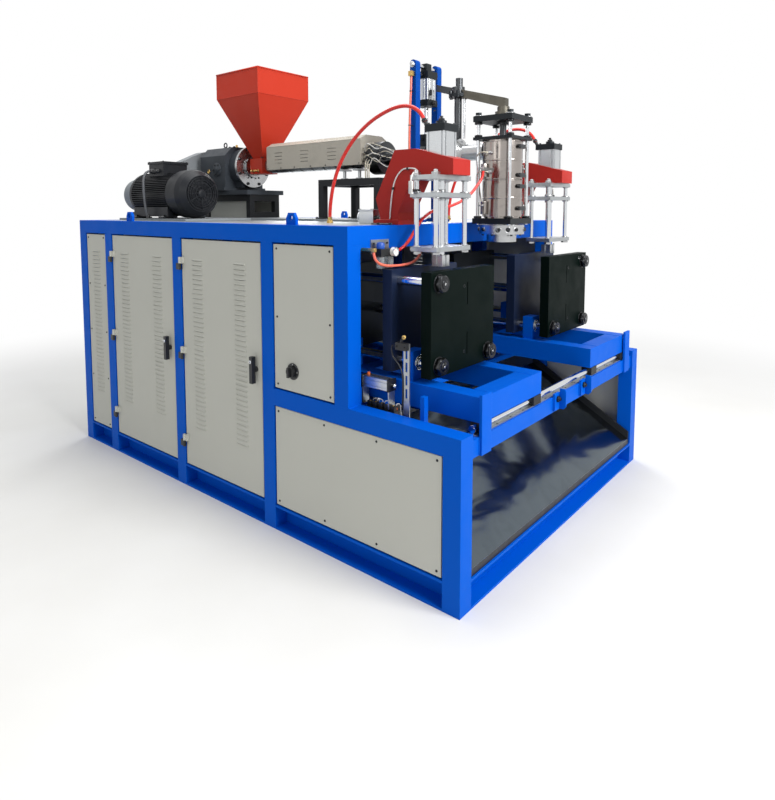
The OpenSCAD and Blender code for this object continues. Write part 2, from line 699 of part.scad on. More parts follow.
motor_y = -motor_offset;
motor_z = platform_top + motor_h;
motor_core = motor_d - 56;
module motor_body() color("#26282b") {
  cross_plate(motor_x0 + 24, motor_x1 - 20) difference() {
    union() {
      translate([motor_y, motor_z]) circle(d = motor_core);
      for (i = [0 : 5 : 179]) if (abs(i - 90) > 24) translate([motor_y, motor_z]) rotate(i)
        square([motor_d - 6, 4], center = true);
      for (s = [-1, 1]) translate([motor_y + s * (motor_core / 2 - 14) - 20, motor_z - motor_h + 12])
        square([40, 60]);
    }
    translate([motor_y - motor_d, motor_z - motor_h - motor_d]) square([2 * motor_d, motor_d + 12]);
  }
  for (x = [motor_x0, motor_x1 - 20 + weld]) rod_x(x, x + 24 - 2 * weld, motor_y, motor_z, motor_d - 10);
  for (x = [motor_x0 + 36, motor_x1 - 90]) for (s = [-1, 1])
    block([x, motor_y + s * 115 - 36, platform_top + clear],
      [x + 56, motor_y + s * 115 + 36, platform_top + 12 - weld]);
  difference() {
    rod_x(motor_x0 - 16, motor_x0 - weld, motor_y, motor_z, 130);
    rod_x(motor_x0 - 20, motor_x0, motor_y, motor_z, 42 + 2 * pin_fit);
  }
  terminal_x = motor_x0 + 170;
  block([terminal_x, motor_y - 95, motor_z + motor_core / 2 - 6 + weld],
    [terminal_x + 170, motor_y + 75, motor_z + motor_core / 2 + 70]);
  block([terminal_x - 6, motor_y - 101, motor_z + motor_core / 2 + 70 + weld],
    [terminal_x + 176, motor_y + 81, motor_z + motor_core / 2 + 86]);
}
module motor_fan_cover() color("#2b2d30") translate([motor_x1 + 4 + clear, motor_y, motor_z])
  rotate([0, 90, 0]) {
  difference() {
    rotate_extrude() polygon([
      [0, 0], [motor_d / 2, 0], [motor_d / 2, fan_l * 0.55], [motor_d / 2 - 10, fan_l * 0.8],
      [motor_d / 2 - 38, fan_l], [0, fan_l]
    ]);
    for (r = [30 : 14 : 100]) difference() {
      translate([0, 0, fan_l - 6]) difference() {
        cylinder(h = 10, r = r + 8);
        translate([0, 0, -over]) cylinder(h = 12, r = r);
      }
      for (a = [0 : 60 : 179]) rotate(a) translate([-motor_d / 2, -3, fan_l - 8]) cube([motor_d, 6, 14]);
    }
  }
}

// Points where a straight run touches two wheels, for wheels drawn in Y and Z
function run_angle(a, b) = atan2(b[1] - a[1], b[0] - a[0]);
function run_lean(a, ra, b, rb) = acos((ra - rb) / norm(b - a));
function run_point(c, r, t) = c + r * [cos(t), sin(t)];
module loop_outline(a, ra, b, rb) {
  t = run_angle(a, b);
  u = run_lean(a, ra, b, rb);
  translate(a) circle(r = ra, $fn = 64);
  translate(b) circle(r = rb, $fn = 64);
  polygon([run_point(a, ra, t + u), run_point(b, rb, t + u), run_point(b, rb, t - u),
    run_point(a, ra, t - u)]);
}
gearbox_rear = motor_x0 - 8;
stand_top = platform_top + stand_h;
gearbox_z = stand_top + 30;
input_y = -60;
input_z = gearbox_z + 130;
motor_wheel = [motor_y, motor_z];
gear_wheel = [input_y, input_z];
belt_t = 9;
groove = 4;
groove_pitch = 14;
module pulley(y, z, d) {
  x = pulley_x - pulley_w / 2;
  translate([x, y, z]) rotate([0, 90, 0]) rotate_extrude() polygon(concat(
    [[0, 0], [d / 2 + 3, 0]],
    [for (i = [0 : 2]) for (p = [[0, 7], [-8, 9], [-8, 13], [0, 15]]) [d / 2 + 3 + p[0],
      p[1] + i * groove_pitch]],
    [[d / 2 + 3, pulley_w], [0, pulley_w]]
  ));
}
module motor_pulley() color("#4a4d50") {
  pulley(motor_y, motor_z, motor_pulley_d);
  rod_x(pulley_x + pulley_w / 2 - over, motor_x0 - 4, motor_y, motor_z, 42);
}
module gearbox_pulley() color("#4a4d50") {
  pulley(input_y, input_z, gearbox_pulley_d);
  rod_x(pulley_x + pulley_w / 2 - over, gearbox_rear + 20, input_y, input_z, 42);
}
module drive_belts() color("#17181a") for (i = [0 : 2])
  cross_plate(pulley_x - pulley_w / 2 + 9.4 + i * groove_pitch,
    pulley_x - pulley_w / 2 + 12.6 + i * groove_pitch) difference() {
    loop_outline(motor_wheel, motor_pulley_d / 2 + belt_t - 5, gear_wheel,
      gearbox_pulley_d / 2 + belt_t - 5);
    loop_outline(motor_wheel, motor_pulley_d / 2 - 5 + clear, gear_wheel,
      gearbox_pulley_d / 2 - 5 + clear);
  }
guard_x0 = pulley_x - pulley_w / 2 - 14;
guard_x1 = pulley_x + pulley_w / 2 + 14;
guard_gap = 20;
module guard_outline(inset) {
  loop_outline(motor_wheel, motor_pulley_d / 2 + guard_gap + 14 - inset, gear_wheel,
    gearbox_pulley_d / 2 + guard_gap + 14 - inset);
}
module belt_guard() color("#3b3e41") {
  difference() {
    cross_plate(guard_x0, guard_x1) guard_outline(0);
    cross_plate(guard_x0 + sheet, guard_x1 + over) guard_outline(sheet);
  }
  cross_plate(guard_x1 + weld, guard_x1 + weld + sheet) difference() {
    guard_outline(0);
    translate(motor_wheel) circle(d = 60);
    translate(gear_wheel) circle(d = 60);
  }
  for (w = [[motor_y + 28, motor_z - motor_pulley_d / 2], [input_y, input_z - gearbox_pulley_d / 2]]) {
    block([platform_rear, w[0] - 28, platform_top + clear],
      [platform_rear + 40, w[0] + 28, platform_top + clear + 6]);
    block([platform_rear + 4, w[0] - 18, platform_top + clear + 6 - over],
      [platform_rear + 34, w[0] + 18, w[1] - guard_gap - 12]);
  }
}

drum_l = 105;
gearbox_front = gearbox_rear + gearbox_l;
drum_front = gearbox_front + drum_l;
module gearbox_housing() color("#2d3134") {
  w = gearbox_w / 2;
  difference() {
    union() {
      cross_plate(gearbox_rear + 14, gearbox_front) polygon([
        [-w, gearbox_z + clear], [w, gearbox_z + clear], [w, gearbox_z + gearbox_h - 60],
        [w - 60, gearbox_z + gearbox_h], [60 - w, gearbox_z + gearbox_h], [-w, gearbox_z + gearbox_h - 60]
      ]);
      block([gearbox_rear + 4, -w - 18, gearbox_z + clear], [gearbox_front + 8, w + 18, gearbox_z + 22]);
      rod_x(gearbox_rear, gearbox_rear + 20, input_y, input_z, 120);
      rod_x(gearbox_front - over, drum_front - 20, 0, screw_z, drum_d - 24);
      rod_x(drum_front - 20, drum_front, 0, screw_z, drum_d);
      for (s = [-1, 1]) block([gearbox_front - 6, s * 70 - 8, gearbox_z + 22],
        [drum_front - 24, s * 70 + 8, screw_z]);
      rod_z(gearbox_z + gearbox_h - 4, gearbox_z + gearbox_h + 14, gearbox_rear + 90, 0, 44);
    }
    rod_x(gearbox_rear - over, gearbox_rear + 26, input_y, input_z, 42 + 2 * pin_fit);
    rod_x(gearbox_front, drum_front + over, 0, screw_z, screw_d + 2 * pin_fit);
  }
  translate([gearbox_rear + 90, 0, gearbox_z + gearbox_h + 14 + 20]) rotate([90, 0, 0])
    rotate_extrude() translate([17, 0]) circle(d = 9);
}

// Thickness of a heater band on the barrel
band_t = 7;
stand_rear = gearbox_rear + 10;
stand_front = stand_rear + 520;
stand_leg = 40;
table_x0 = post_x[3] - 440;
table_x1 = post_x[3] + 44;
table_y = 165;
table_top = screw_z - 122;
jack_x = [table_x0 + 66, table_x0 + 190];
saddle_z = screw_z - barrel_d / 2 - band_t - clear;
module extruder_stands() {
  color("#23262a") {
    for (x = [stand_rear, stand_front - stand_leg]) for (s = [-1, 1])
      block([x, s * 110 - stand_leg / 2, platform_top + clear],
        [x + stand_leg, s * 110 + stand_leg / 2, stand_top - 45 - weld]);
    for (s = [-1, 1]) block([stand_rear, s * 110 - stand_leg / 2, stand_top - 45],
      [stand_front, s * 110 + stand_leg / 2, stand_top - weld]);
    block([stand_front - stand_leg, -90 + weld, platform_top + clear],
      [stand_front, 90 - weld, platform_top + 40]);
    block([stand_front - stand_leg, -90 + weld, stand_top - 45],
      [stand_front, 90 - weld, stand_top - weld]);
    for (x = [table_x0, table_x1 - stand_leg]) {
      for (s = [-1, 1])
        block([x, s * (table_y - stand_leg / 2) - stand_leg / 2, platform_top + clear],
          [x + stand_leg, s * (table_y - stand_leg / 2) + stand_leg / 2, table_top - 40 - weld]);
      block([x, -table_y + stand_leg + weld, table_top - 40],
        [x + stand_leg, table_y - stand_leg - weld, table_top]);
    }
    for (s = [-1, 1]) block([table_x0, s * (table_y - stand_leg / 2) - stand_leg / 2, table_top - 40],
      [table_x1, s * (table_y - stand_leg / 2) + stand_leg / 2, table_top]);
  }
  color("#6f7376") {
    block([stand_rear - 14, -160, stand_top], [stand_front + 12, 160, gearbox_z]);
    for (s = [-1, 1]) block([stand_rear + stand_leg + weld, s * 112 - 2, platform_top + clear],
      [stand_front - stand_leg - weld, s * 112 + 2, stand_top - 45 - weld]);
  }
  color("#6f7376") block([table_x0 + stand_leg + weld, weld - table_y + stand_leg, table_top - 12], [
    table_x1 - stand_leg - weld, table_y - stand_leg - weld, table_top
  ]);
  color("#8d9194") for (x = jack_x) {
    rod_z(table_top + weld, table_top + 14, x, 0, 46);
    rod_z(table_top + 14 - over, saddle_z - 12, x, 0, 20);
    block([x - 22, -40, saddle_z - 12 - weld], [x + 22, 40, saddle_z]);
  }
}

hopper_x = drum_front + 116;
throat_l = 128;
throat_w = 134;
throat_z = screw_z - 55;
throat_top = screw_z + 42;
module feed_throat() color("#c4271d") difference() {
  union() {
    block([hopper_x - throat_l / 2, -throat_w / 2, throat_z],
      [hopper_x + throat_l / 2, throat_w / 2, throat_top]);
    rod_x(drum_front + clear, hopper_x - throat_l / 2 + over, 0, screw_z, 82);
    rod_x(drum_front + clear, drum_front + 16, 0, screw_z, 150);
  }
  rod_x(drum_front, hopper_x + throat_l, 0, screw_z, screw_d + 2 * pin_fit);
  rod_z(screw_z, throat_top + over, hopper_x, 0, hopper_neck - 24);
}
hopper_flange = 8;
hopper_z = throat_top + clear + hopper_flange;
hopper_top = hopper_z + hopper_taper + hopper_band;
module hopper_solid(t) {
  n = hopper_neck - 2 * t;
  s = hopper_side - 2 * t;
  hull() {
    translate([hopper_x - n / 2, -n / 2, hopper_z]) cube([n, n, 1]);
    translate([hopper_x - s / 2, -s / 2, hopper_z + hopper_taper - 1]) cube([s, s, 1]);
  }
}
module hopper() color("#d93a26") difference() {
  union() {
    hopper_solid(0);
    block([hopper_x - hopper_side / 2, -hopper_side / 2, hopper_z + hopper_taper - 1],
      [hopper_x + hopper_side / 2, hopper_side / 2, hopper_top]);
    block([hopper_x - throat_l / 2, -throat_w / 2, throat_top + clear],
      [hopper_x + throat_l / 2, throat_w / 2, hopper_z]);
  }
  hopper_solid(sheet);
  block([hopper_x - hopper_side / 2 + sheet, -hopper_side / 2 + sheet, hopper_z + hopper_taper - 2],
    [hopper_x + hopper_side / 2 - sheet, hopper_side / 2 - sheet, hopper_top + over]);
  rod_z(throat_top, hopper_z + over, hopper_x, 0, hopper_neck - 24);
}

barrel_x0 = hopper_x + throat_l / 2 + weld;
barrel_x1 = post_x[3] - 120;
module extruder_screw() color("#b9bcbe") {
  rod_x(drum_front - 60, drum_front + 20, 0, screw_z, screw_d);
  rod_x(drum_front + 20, barrel_x1 - 30, 0, screw_z, screw_d * 0.62);
  for (x = [drum_front + 50 : screw_d : barrel_x1 - 60]) rod_x(x, x + 7, 0, screw_z, screw_d);
  translate([barrel_x1 - 30, 0, screw_z]) rotate([0, 90, 0])
    cylinder(h = 40, d1 = screw_d * 0.62, d2 = 6);
}
band_w = 92;
band_pitch = band_w + 14;
module barrel() color("#8b8e90") difference() {
  union() {
    rod_x(barrel_x0, barrel_x1 + 60, 0, screw_z, barrel_d);
    for (x = [barrel_x0 + 40 : band_pitch : barrel_x1 - band_w])
      rod_x(x, x + band_w, 0, screw_z, barrel_d + 2 * band_t);
    rod_x(barrel_x1, barrel_x1 + 60, 0, screw_z, 190);
  }
  rod_x(barrel_x0 - over, barrel_x1 + 61, 0, screw_z, screw_d + 2 * pin_fit);
}
cover_x0 = barrel_x0 + 112;
cover_l = barrel_x1 - cover_gap - cover_x0;
cover_hole = barrel_d + 2 * band_t + 8;
cover_z0 = screw_z - 40;
cover_z1 = cover_z0 + cover_h;
module cover_outline(t) polygon([
  [-cover_w / 2 + t, cover_z0 - (t > 0 ? over : 0)], [-cover_w / 2 + t, cover_z1 - t / 2],
    [-cover_w / 2 + 46, cover_z1 + cover_roof - t],
  [cover_w / 2 - 46, cover_z1 + cover_roof - t], [cover_w / 2 - t, cover_z1 - t / 2],
    [cover_w / 2 - t, cover_z0 - (t > 0 ? over : 0)]
]);
module barrel_cover() color("#a8a59a") {
  difference() {
    cross_plate(cover_x0, cover_x0 + cover_l) cover_outline(0);
    cross_plate(cover_x0 + sheet, cover_x0 + cover_l - sheet) cover_outline(sheet);
    for (x = [cover_x0 - over, cover_x0 + cover_l - sheet - over])
      rod_x(x, x + sheet + 2 * over, 0, screw_z, cover_hole);
    for (x = [cover_x0 - over, cover_x0 + cover_l - sheet - over])
      block([x, -cover_hole / 2, cover_z0 - over], [x + sheet + 2 * over, cover_hole / 2, screw_z]);
    for (g = [0.14, 0.43, 0.72]) for (i = [0 : 3]) for (s = [-1, 1])
      block([cover_x0 + g * cover_l - 35, s * cover_w / 2 - 8, cover_z0 + 40 + i * 22],
        [cover_x0 + g * cover_l + 35, s * cover_w / 2 + 8, cover_z0 + 43 + i * 22]);
  }
  for (x = [cover_x0 + 80, cover_x0 + cover_l - 120]) for (s = [-1, 1])
    block([x, s > 0 ? barrel_d / 2 + band_t + clear : -cover_w / 2 + sheet + weld, screw_z - 4],
      [x + 30, s > 0 ? cover_w / 2 - sheet - weld : -barrel_d / 2 - band_t - clear, screw_z + 4]);
}

lift_x = x_cabinet - 312;
adaptor_flange_x = x_cabinet - 80;
flange_d = 148;
module melt_adaptor() color("#c5c8ca") {
  difference() {
    translate([barrel_x1 + 60 + weld, 0, screw_z]) rotate([0, 90, 0]) rotate_extrude() polygon([
      [0, 0], [95, 0], [95, 26], [42, 34], [38, 60], [38, adaptor_flange_x - barrel_x1 - 110],
      [flange_d / 2, adaptor_flange_x - barrel_x1 - 104],
        [flange_d / 2, adaptor_flange_x - barrel_x1 - 60],
      [45, adaptor_flange_x - barrel_x1 - 30], [45, line_x - head_d / 2 - barrel_x1 - 60 - weld + 2],
      [0, line_x - head_d / 2 - barrel_x1 - 60 - weld + 2]
    ]);
    rod_z(screw_z - head_d, screw_z + head_d, line_x, 0, head_d + 2 * weld);
  }
  difference() {
    union() {
      rod_x(lift_x - 30, lift_x + 30, 0, screw_z, 116);
      block([lift_x - 20, -34, screw_z + 40], [lift_x + 20, 34, eye_z + 26]);
    }
    rod_x(lift_x - 40, lift_x + 40, 0, screw_z, 76 + 2 * weld);
    block([lift_x - 30, -16, screw_z + 62], [lift_x + 30, 16, eye_z + 40]);
    rod_y(-50, 50, lift_x, eye_z, 16 + 2 * weld);
  }
  rod_y(-40, 40, lift_x, eye_z, 16);
}

// Cylinder that raises the head end of the platform
eye_z = screw_z + 86;
lift_pin_z = lift_post_top - 26;
lift_body_top = lift_pin_z - 20;
lift_body_low = lift_body_top - 190;
eye_play = 2;
module lift_posts() {
  color("#1c55b5") both_sides() {
    difference() {
      union() {
        block([lift_x - lift_post / 2, -lift_gap / 2 - lift_post, cabinet_height + 14 + weld],
          [lift_x + lift_post / 2, -lift_gap / 2, lift_post_top - lift_post / 2]);
        rod_y(-lift_gap / 2 - lift_post, -lift_gap / 2, lift_x, lift_post_top - lift_post / 2, lift_post);
      }
      rod_y(-lift_gap / 2 - lift_post - over, -lift_gap / 2 + over, lift_x, lift_pin_z, 20 + 2 * weld);
    }
    block([lift_x - 60, -lift_gap / 2 - lift_post - 30, cabinet_height + weld],
      [lift_x + 60, -lift_gap / 2 + 4, cabinet_height + 14]);
  }
  color("#8d9194") {
    rod_y(-lift_gap / 2 - lift_post - 8, lift_gap / 2 + lift_post + 8, lift_x, lift_pin_z, 20);
    both_sides() rod_y(-lift_gap / 2 - lift_post - 8, -lift_gap / 2 - lift_post - weld, lift_x,
      lift_pin_z, 32);
  }
  color("#c9a24a") {
    block([lift_x - 12, -lift_gap / 2 - lift_post - 26, lift_post_top - 90],
      [lift_x + 12, -lift_gap / 2 - lift_post - weld, lift_post_top - 64]);
    rod_z(cabinet_height + 14 + weld, cabinet_height + 40, lift_x, -lift_gap / 2 - lift_post - 15, 20);
  }
  color("#1c55b5") platform_cheeks();
}
module lift_cylinder() {
  color("#2b2e31") {
    difference() {
      union() {
        block([lift_x - lift_cap / 2, -lift_cap / 2, lift_body_top - 42],
          [lift_x + lift_cap / 2, lift_cap / 2, lift_body_top - 4]);
        block([lift_x - 20, -22, lift_body_top - 10], [lift_x + 20, 22, lift_pin_z + 20]);
      }
      rod_y(-50, 50, lift_x, lift_pin_z, 20 + 2 * pin_fit);
    }
    difference() {
      block([lift_x - lift_cap / 2, -lift_cap / 2, lift_body_low],
        [lift_x + lift_cap / 2, lift_cap / 2, lift_body_low + 34]);
      rod_z(lift_body_low - over, lift_body_low + 40, lift_x, 0, lift_rod_d + 2 * pin_fit);
    }
  }
  color("#c9ccce") difference() {
    rod_z(lift_body_low + 34 + weld, lift_body_top - 42 - weld, lift_x, 0, lift_cap - 14);
    rod_z(lift_body_low + 30, lift_body_top - 50, lift_x, 0, 50);
  }
}
module lift_rod() color("#cfd2d4") {
  rod_z(eye_z + 20, lift_body_low + 44, lift_x, 0, lift_rod_d);
  rod_z(lift_body_low + 44 - over, lift_body_low + 60, lift_x, 0, 50 - 2 * clear);
  difference() {
    rod_y(-13, 13, lift_x, eye_z, 46);
    rod_y(-20, 20, lift_x, eye_z, 16 + 2 * eye_play);
  }
}

column_x = x_cabinet - 101;
column_low = screw_z + flange_d / 2 + weld;
hub_z = screw_z + 282;
module adjuster_column() color("#2a2c2e") {
  rod_z(column_low, hub_z + 10, column_x, 0, 40);
  rod_z(hub_z + 10 - over, hub_z + 26, column_x, 0, 100);
  rod_z(hub_z + 26 - over, hub_z + 62, column_x, 0, 70);
  for (a = [0 : 60 : 359]) translate([column_x, 0, hub_z + 18]) rotate(a) translate([44, 0, 0])
    rod_z(-14, 22, 0, 0, 18);
  rod_z(hub_z + 61, hub_z + 108, column_x + 6, 0, 38);
  translate([column_x + 40, 0, 0]) rod_z(column_low, hub_z + 26, 0, 0, 12);
  conduit_top = hub_z + 50;
  conduit_low = head_top + 92;
  side_plate(-19, 19, [
    [column_x - 130, conduit_top + 40], [column_x - 130, conduit_top + 4],
      [line_x - 19, conduit_low - 38],
    [line_x - 19, head_top + 46], [line_x + 19, head_top + 46], [line_x + 19, conduit_low]
  ]);
  rod_z(head_top + 24, head_top + 50, line_x, 0, 62);
  rod_z(head_top + weld, head_top + 25, line_x, 0, 84);
}

head_top = screw_z + 165;
head_second = head_top - head_plate_t - 76;
head_low = screw_z - 345;
bottom_plate_t = 28;
rod_inset = 20;
module head_corners() for (sx = [-1, 1]) for (sy = [-1, 1])
  translate([line_x + sx * (head_plate / 2 - rod_inset), sy * (head_plate / 2 - rod_inset), 0])
  children();
module square_plate(z0, z1, side, bore) {
  difference() {
    block([line_x - side / 2, -side / 2, z0], [line_x + side / 2, side / 2, z1]);
    rod_z(z0 - over, z1 + over, line_x, 0, bore);
    head_corners() cylinder(h = 4000, d = head_rod_d + 2 * weld);
  }
}
module head_plates() color("#2c2f31") {
  square_plate(head_top - head_plate_t, head_top, head_plate, 40);
  square_plate(head_second - 14, head_second, head_plate, 60);
  square_plate(head_low - bottom_plate_t, head_low, head_plate, 60);
}
module head_rods() {
  color("#d2d5d7") head_corners() rod_z(head_low - bottom_plate_t - 4, head_top + 6, 0, 0, head_rod_d);
  color("#26282a") head_corners() difference() {
    hex_z(head_top + weld, head_top + 18, 0, 0, 34);
    rod_z(head_top - over, head_top + 6 + weld, 0, 0, head_rod_d + 2 * weld);
  }
}
body_d = head_d;
module head_body() {
  color("#c7c9ca") difference() {
    union() {
      rod_z(head_low + weld, head_second - 14 - weld, line_x, 0, body_d - 16);
      rod_z(head_low + 8, (head_low + head_second) / 2 - 12, line_x, 0, body_d);
      rod_z((head_low + head_second) / 2 - 8, head_second - 24, line_x, 0, body_d);
      for (z = [head_low + 40, head_low + 150, head_low + 205, head_second - 60])
        block([line_x + body_d / 2 - 10, -26, z], [line_x + body_d / 2 + 14, 26, z + 20]);
    }
    rod_z(head_low - over, head_second, line_x, 0, 36);
    rod_x(line_x - body_d, line_x, 0, screw_z, 30);
  }
  color("#c9a24a") block([line_x - 33, -body_d / 2 - 56, screw_z - 110],
    [line_x - 17, -body_d / 2 + 6, screw_z - 94]);
  color("#55585a") {
    rod_z(head_second - 13, head_top - head_plate_t - weld, line_x, 0, 34);
    rod_z(head_top - head_plate_t - 12, head_top - head_plate_t - weld, line_x, 0, 60);
  }
}
module die_ring() {
  color("#c0c3c4") difference() {
    union() {
      rod_z(head_low - bottom_plate_t - 52, head_low - bottom_plate_t - weld - 4.2, line_x, 0, ring_d);
      rod_z(die_z, head_low - bottom_plate_t - 51, line_x, 0, die_d);
      rod_z(head_low - bottom_plate_t - 8, head_low - bottom_plate_t - weld, line_x, 0, die_d);
    }
    rod_z(die_z - over, head_low, line_x, 0, 44);
    for (a = [20, 110, 200, 290]) rotate_about(a) rod_x(60, 200, 0, head_low - bottom_plate_t - 30, 24);
  }
  color("#8f9395") rod_z(die_z - 4, head_second - 13 - weld, line_x, 0, 30);
}
module rotate_about(a) translate([line_x, 0, 0]) rotate(a) children();

// Arm that carries a blow unit over its station, drawn for the near side
arm_base = cabinet_height + weld;
arm_foot_t = 20;
arm_z = arm_base + arm_foot_t;
pad_z = screw_z - 60;
arm_face_x = line_x + 108;
module arm_outline() polygon([
  [x_cabinet - 122, arm_z - 1], [x_cabinet - 152, screw_z - 250], [x_cabinet - 40, screw_z - 32],
  [x_cabinet + 78, screw_z - 32], [arm_face_x, pad_z - 25], [arm_face_x, pad_z - 92],
  [line_x - 80, pad_z - 92],
  [x_cabinet + 78, pad_z - 84], [x_cabinet + 52, pad_z - 116], [x_cabinet - 20, arm_z + 36],
    [x_cabinet - 12, arm_z - 1]
]);
module blow_arm() {
  y0 = -station_y - arm_w / 2;
  difference() {
    union() {
      translate([0, y0 + arm_w, 0]) rotate([90, 0, 0]) linear_extrude(arm_w) arm_outline();
      block([x_cabinet - 150, y0 - 20, arm_base], [x_cabinet - 4, y0 + arm_w + 20, arm_z]);
    }
    rod_z(pad_z - 200, pad_z + over, line_x, -station_y, blow_shaft_d + 14);
    blow_square(seat_z, screw_z, blow_profile + 2 * weld);
  }
}
module blow_square(z0, z1, side) block([line_x - side / 2, -station_y - side / 2, z0],
  [line_x + side / 2, -station_y + side / 2, z1]);
module blow_arms() color("#c4241f") both_sides() blow_arm();

guide_top = pad_z - 92;
guide_low = guide_top - 330;
guide_t = 20;
mid_z = guide_top - 96;
module guide_corners() for (sx = [-1, 1]) for (sy = [-1, 1])
  translate([line_x + sx * (guide_x / 2 - 20), -station_y + sy * (guide_y / 2 - 20), 0]) children();
module guide_plate(z, t, bore, gap) {
  difference() {
    block([line_x - guide_x / 2, -station_y - guide_y / 2, z],
      [line_x + guide_x / 2, -station_y + guide_y / 2, z + t]);
    rod_z(z - over, z + t + over, line_x, -station_y, bore);
    guide_corners() cylinder(h = 4000, d = guide_rod_d + 2 * gap);
  }
}
tube_low = pad_z - 8;
tube_high = tube_low + blow_stroke + 27;
seat_z = tube_low - 22;
blow_profile = blow_cap - 10;
blow_bore = blow_cap - 40;
// Air port on the side of the upper cap, and the one on the lower guide plate
port_x = line_x - blow_cap / 2 - 21;
guide_port_y = -station_y - 45;
module blow_unit() {
  color("#33373a") {
    blow_square(tube_high + weld, tube_high + blow_cap_t, blow_cap);
    rod_z(tube_high + blow_cap_t - over, tube_high + blow_cap_t + 16, line_x, -station_y, 46);
    block([port_x - 10, -station_y - 12, tube_high + 4],
      [line_x - blow_cap / 2, -station_y + 12, tube_high + 30]);
    block([line_x - guide_x / 2 - 18, guide_port_y - 10, guide_low],
      [line_x - guide_x / 2 - weld, guide_port_y + 10, guide_low + guide_t]);
  }
  color("#c9a24a") translate([port_x, -station_y, tube_high + 24]) rotate([0, -30, 0])
    cylinder(h = 31, d = 18);
  color("#d5d7d8") {
    difference() {
      blow_square(seat_z + weld, tube_low - weld, blow_profile);
      rod_z(seat_z - over, tube_low, line_x, -station_y, blow_shaft_d + 2 * pin_fit);
    }
    difference() {
      blow_square(tube_low, tube_high, blow_profile);
      rod_z(tube_low - over, tube_high - 8, line_x, -station_y, blow_bore);
      for (a = [0 : 90 : 359]) for (s = [-1, 1]) translate([line_x, -station_y, 0]) rotate(a)
        block([blow_profile / 2 - 5, s * (blow_profile / 2 - 12) - 3, tube_low - over],
          [blow_profile / 2 + over, s * (blow_profile / 2 - 12) + 3, tube_high + over]);
    }
  }
  color("#b5b8ba") {
    guide_plate(guide_top - guide_t - weld, guide_t, blow_shaft_d + 2 * pin_fit, weld);
    guide_plate(guide_low, guide_t, blow_shaft_d + 2 * pin_fit, weld);
    guide_corners() rod_z(guide_low - 12, guide_top - weld, 0, 0, guide_rod_d);
  }
}
module blow_units() both_sides() blow_unit();
piston_z = tube_high - 24;
module blow_pin() color("#c3c6c8") {
  difference() {
    union() {
      guide_plate(mid_z, guide_t, 10, pin_fit);
      rod_z(mid_z + guide_t - over, piston_z + over, line_x, -station_y, blow_shaft_d);
      rod_z(piston_z, piston_z + 14, line_x, -station_y, blow_bore - 2 * clear);
      rod_z(guide_low - 20, mid_z + over, line_x, -station_y, blow_shaft_d);
    }
    rod_z(guide_low - 30, mid_z + guide_t + 40, line_x, -station_y, 10);
  }
  difference() {
    blow_square(guide_low - 70, guide_low - 20 - weld, blow_block);
    rod_z(guide_low - 72, guide_low, line_x, -station_y, 10);
    for (s = [-1, 1]) {
      block([line_x - 5, -station_y + s * blow_block / 2 - 5, guide_low - 72],
        [line_x + 5, -station_y + s * blow_block / 2 + 5, guide_low]);
      block([line_x + s * blow_block / 2 - 5, -station_y - 5, guide_low - 72],
        [line_x + s * blow_block / 2 + 5, -station_y + 5, guide_low]);
    }
  }
}
module blow_pin_near() blow_pin();
module blow_pin_far() mirror([0, 1, 0]) blow_pin();

// Air service set under the cross rail, near side
air_x = x_cabinet + weld;
air_y = -y_side + 200;
air_z = rail_low - 62;
module air_service() {
  color("#c7cacc") block([air_x, air_y - 60, air_z + 20], [air_x + 6, air_y + 60, rail_low + 20]);
  color("#26292b") {
    rod_z(air_z - 40, air_z + 14, air_x + 34, air_y - 30, 36);
    rod_z(air_z - 40, air_z + 14, air_x + 34, air_y + 30, 36);
    block([air_x + 14, air_y - 50, air_z + 14 + weld], [air_x + 54, air_y + 50, air_z + 44]);
    rod_z(air_z + 44 + weld, air_z + 70, air_x + 34, air_y - 30, 30);
    block([air_x + 6 + weld, air_y - 20, air_z + 24], [air_x + 14 - weld, air_y + 20, air_z + 40]);
  }
  color("#c9a24a") {
    rod_x(air_x, air_x + 74, -y_side + 90, air_z + 43, 16);
    block([air_x + 57, -y_side + 82, air_z + 35], [air_x + 73, -y_side + 98, air_z + 51]);
    rod_y(air_y + 50 + weld, air_y + 66, air_x + 34, air_z + 30, 16);
  }
  color("#e8e9ea") rod_x(air_x + 54 + weld, air_x + 70, air_y + 28, air_z + 30, 38);
}
valve_x = x_cabinet + 2;
valve_count = 5;
valve_pitch = 32;
valve_y = -y_in + 60;
valve_z = bed_rail_low + 8;
module air_valves() {
  color("#b9bcbe") block([valve_x, valve_y - 40, valve_z + weld],
    [valve_x + valve_count * valve_pitch + 6, valve_y + 10, valve_z + 24]);
  color("#222427") for (i = [0 : valve_count - 1])
    block([valve_x + 6 + i * valve_pitch, valve_y - 34, valve_z + 24 + weld],
      [valve_x + (i + 1) * valve_pitch, valve_y + 4, valve_z + 66]);
}
switch_x = line_x + 47;
switch_y = -y_in + 40;
module switch_bar() {
  color("#b9bcbe") difference() {
    block([switch_x - 15, switch_y - 3, bed_rail_low + 8 + weld],
      [switch_x + 15, switch_y + 3, bed_height + 290]);
    for (i = [0 : 3]) block([switch_x - 5, switch_y - 5, bed_height + 60 + i * 55],
      [switch_x + 5, switch_y + 5, bed_height + 100 + i * 55]);
  }
  color("#232629") {
    block([switch_x - 44, switch_y - 3 - 20, bed_height + 262],
      [switch_x + 12, switch_y - 3 - weld, bed_height + 292]);
  }
  color("#1565d8") block([switch_x + 98, -y_in + weld, bed_rail_low + 8 + weld],
    [switch_x + 118, -y_in + 26, bed_height + 95]);
}

